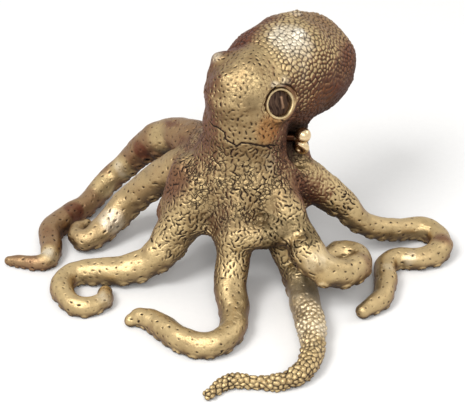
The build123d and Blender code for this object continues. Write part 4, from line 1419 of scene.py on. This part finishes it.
for side, (eye, normal, knob) in EYES.items():
    across = np.cross((0, 0, 1.0), normal)
    across /= np.linalg.norm(across)
    upright = np.cross(normal, across)
    floor_point = eye - normal * POCKET_DEPTH
    rows = []
    for k in range(AROUND):
        angle = 2 * math.pi * k / AROUND
        out_way = across * math.cos(angle) + upright * math.sin(angle)
        wobble = 0.035 * math.sin(3 * angle + 0.7) + 0.02 * math.sin(8 * angle)
        for radius, rise in RING_OUTLINE:
            lift = wobble if rise > 1.0 else 0.0
            inward = 0.4 * lift if radius < 2.0 else 0
            rows.append(floor_point + out_way * (radius - inward) + normal * (rise + lift))
    count = len(RING_OUTLINE)
    faces = []
    for k in range(AROUND):
        for j in range(count):
            a, b = k * count, (k + 1) % AROUND * count
            faces.append((a + j, b + j, b + (j + 1) % count, a + (j + 1) % count))
    tones = {label: np.zeros(len(rows)) for label in TONES}
    tones["rub"] += 1
    tones["silver"] += 0.25
    ring = new_piece("eye_ring_%s_turned" % side, rows, faces, tones)
    for face in ring.data.polygons:
        face.use_smooth = True
    ring.data.materials.append(casting_brass)
    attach(ring, "root")
    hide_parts("eye_ring_" + side)

    rows, glint = [floor_point, floor_point + normal * (DISC_EDGE + DISC_DOME)], [0.0, 0.0]
    for j in range(1, DISC_CIRCLES + 1):
        radius = DISC_RADIUS * j / DISC_CIRCLES
        for k in range(AROUND):
            angle = 2 * math.pi * k / AROUND
            u, v = radius * math.cos(angle), radius * math.sin(angle)
            bar = math.exp(-(((u - BAR_PLACE - 0.06 * v) / 0.17) ** 2))
            bar *= float(soft_step(0, 0.25, 0.95 - abs(v - 0.05)))
            pupil = math.exp(-(((u - PUPIL_PLACE) / 0.14) ** 2)) * float(soft_step(0, 0.3, 0.85 - abs(v)))
            streak = 0.5 + 0.5 * math.sin(23 * u + 2.2 * math.sin(2.6 * v + 1.0) + 3.0 * math.sin(7.1 * u))
            rise = DISC_EDGE + DISC_DOME * (1 - (j / DISC_CIRCLES) ** 2)
            rise += BAR_RISE * bar - PUPIL_DEPTH * pupil - STREAK_DEPTH * streak * (1 - bar)
            rows.append(floor_point + across * u + upright * v + normal * rise)
            # Painted highlight on the bar and the crests of the streaks.
            glint.append(min(1.0, bar + 0.32 * (1 - streak) * (1 - pupil)))
    for k in range(AROUND):
        angle = 2 * math.pi * k / AROUND
        rows.append(floor_point + (across * math.cos(angle) + upright * math.sin(angle)) * DISC_RADIUS)
        glint.append(0.0)
    faces = [(1, 2 + k, 2 + (k + 1) % AROUND) for k in range(AROUND)]
    for j in range(DISC_CIRCLES):
        a, b = 2 + j * AROUND, 2 + (j + 1) * AROUND
        faces += [(a + k, b + k, b + (k + 1) % AROUND, a + (k + 1) % AROUND) for k in range(AROUND)]
    last = 2 + DISC_CIRCLES * AROUND
    faces += [(0, last + (k + 1) % AROUND, last + k) for k in range(AROUND)]
    disc = new_piece("eye_%s_engraved" % side, rows, faces, {"glint": glint})
    for face in disc.data.polygons:
        face.use_smooth = True
    disc.data.materials.append(blackened)
    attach(disc, "root")
    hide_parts("eye_" + side)

# Pins
# Short lengths of drawn brass rod, pushed into drilled holes across each joint before brazing. They are
# inside the metal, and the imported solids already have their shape.
ROD_DARK = "c8a860"
ROD_LIGHT = "e0c684"
DRAW_LINE = 0.15

rod, tree = new_material("drawn_brass_rod")
where = node(tree, "ShaderNodeTexCoord").outputs["Object"]
lengthwise = node(tree, "ShaderNodeMapping", Vector=where, Scale=(1.0, 1.0, 0.15)).outputs[0]
draw_lines = node(
    tree, "ShaderNodeTexNoise", Vector=lengthwise, Scale=1000 / DRAW_LINE, Detail=2.0
).outputs["Fac"]
colour = node(
    tree, "ShaderNodeMix", {"data_type": "RGBA"},
    in0=draw_lines, in6=linear(ROD_DARK), in7=linear(ROD_LIGHT),
).outputs[2]
rough = node(tree, "ShaderNodeMapRange", Value=draw_lines, To_Min=0.22, To_Max=0.36).outputs[0]
bump = node(tree, "ShaderNodeBump", Height=draw_lines, Strength=0.3, Distance=0.00001).outputs[0]
shader = node(
    tree, "ShaderNodeBsdfPrincipled", Base_Color=colour, Metallic=1.0, Roughness=rough, Normal=bump
).outputs[0]
node(tree, "ShaderNodeOutputMaterial", Surface=shader)
for name in ("arm_pins", "neck_pin"):
    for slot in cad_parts[name].material_slots:
        slot.material = rod

# Studio
# A pale floor that keeps the shadow, a white surround, and three soft lamps: one high on the left, one
# over the front, and a weak one on the right.
PAPER_DARK = "f4f3f1"
PAPER_LIGHT = "f8f7f5"
FIBRE = 0.8
SURROUND_LIGHT = 0.62
# Place in metres, width in metres, and power in watts
LAMPS = {
    "key_lamp": ((-0.16, -0.14, 0.30), 0.14, 0.75),
    "front_lamp": ((0.03, -0.28, 0.26), 0.16, 0.35),
    "right_lamp": ((0.26, 0.05, 0.20), 0.12, 0.12),
}

floor_mesh = bpy.data.meshes.new("floor")
floor_mesh.from_pydata([(-3, -3, 0), (3, -3, 0), (3, 3, 0), (-3, 3, 0)], [], [(0, 1, 2, 3)])
floor = bpy.data.objects.new("floor", floor_mesh)
bpy.context.scene.collection.objects.link(floor)
paper, tree = new_material("pale_paper")
where = node(tree, "ShaderNodeTexCoord").outputs["Object"]
fibres = node(tree, "ShaderNodeTexNoise", Vector=where, Scale=1000 / FIBRE, Detail=2.0).outputs["Fac"]
colour = node(
    tree, "ShaderNodeMix", {"data_type": "RGBA"},
    in0=fibres, in6=linear(PAPER_DARK), in7=linear(PAPER_LIGHT),
).outputs[2]
shader = node(tree, "ShaderNodeBsdfPrincipled", Base_Color=colour, Roughness=0.9).outputs[0]
node(tree, "ShaderNodeOutputMaterial", Surface=shader)
floor_mesh.materials.append(paper)

world = bpy.data.worlds.new("surround")
bpy.context.scene.world = world
world.use_nodes = True
tree = world.node_tree
tree.nodes.clear()
path = node(tree, "ShaderNodeLightPath")
seen = path.outputs["Is Camera Ray"]
for ray in ("Is Glossy Ray", "Is Transmission Ray"):
    adding = {"operation": "ADD", "use_clamp": True}
    seen = node(tree, "ShaderNodeMath", adding, in0=seen, in1=path.outputs[ray]).outputs[0]
lit = node(tree, "ShaderNodeBackground", Color=(1, 1, 1, 1), Strength=SURROUND_LIGHT).outputs[0]
shown = node(tree, "ShaderNodeBackground", Color=(1, 1, 1, 1), Strength=1.0).outputs[0]
mixed = node(tree, "ShaderNodeMixShader", in0=seen, in1=lit, in2=shown).outputs[0]
node(tree, "ShaderNodeOutputWorld", Surface=mixed)

for name, (place, size, power) in LAMPS.items():
    lamp_data = bpy.data.lights.new(name, "AREA")
    lamp_data.energy = power
    lamp_data.size = size
    lamp = bpy.data.objects.new(name, lamp_data)
    lamp.location = place
    lamp.rotation_euler = (Vector((0, 0, 0.012)) - Vector(place)).to_track_quat("-Z", "Y").to_euler()
    bpy.context.scene.collection.objects.link(lamp)

bpy.context.scene.view_settings.view_transform = "Standard"
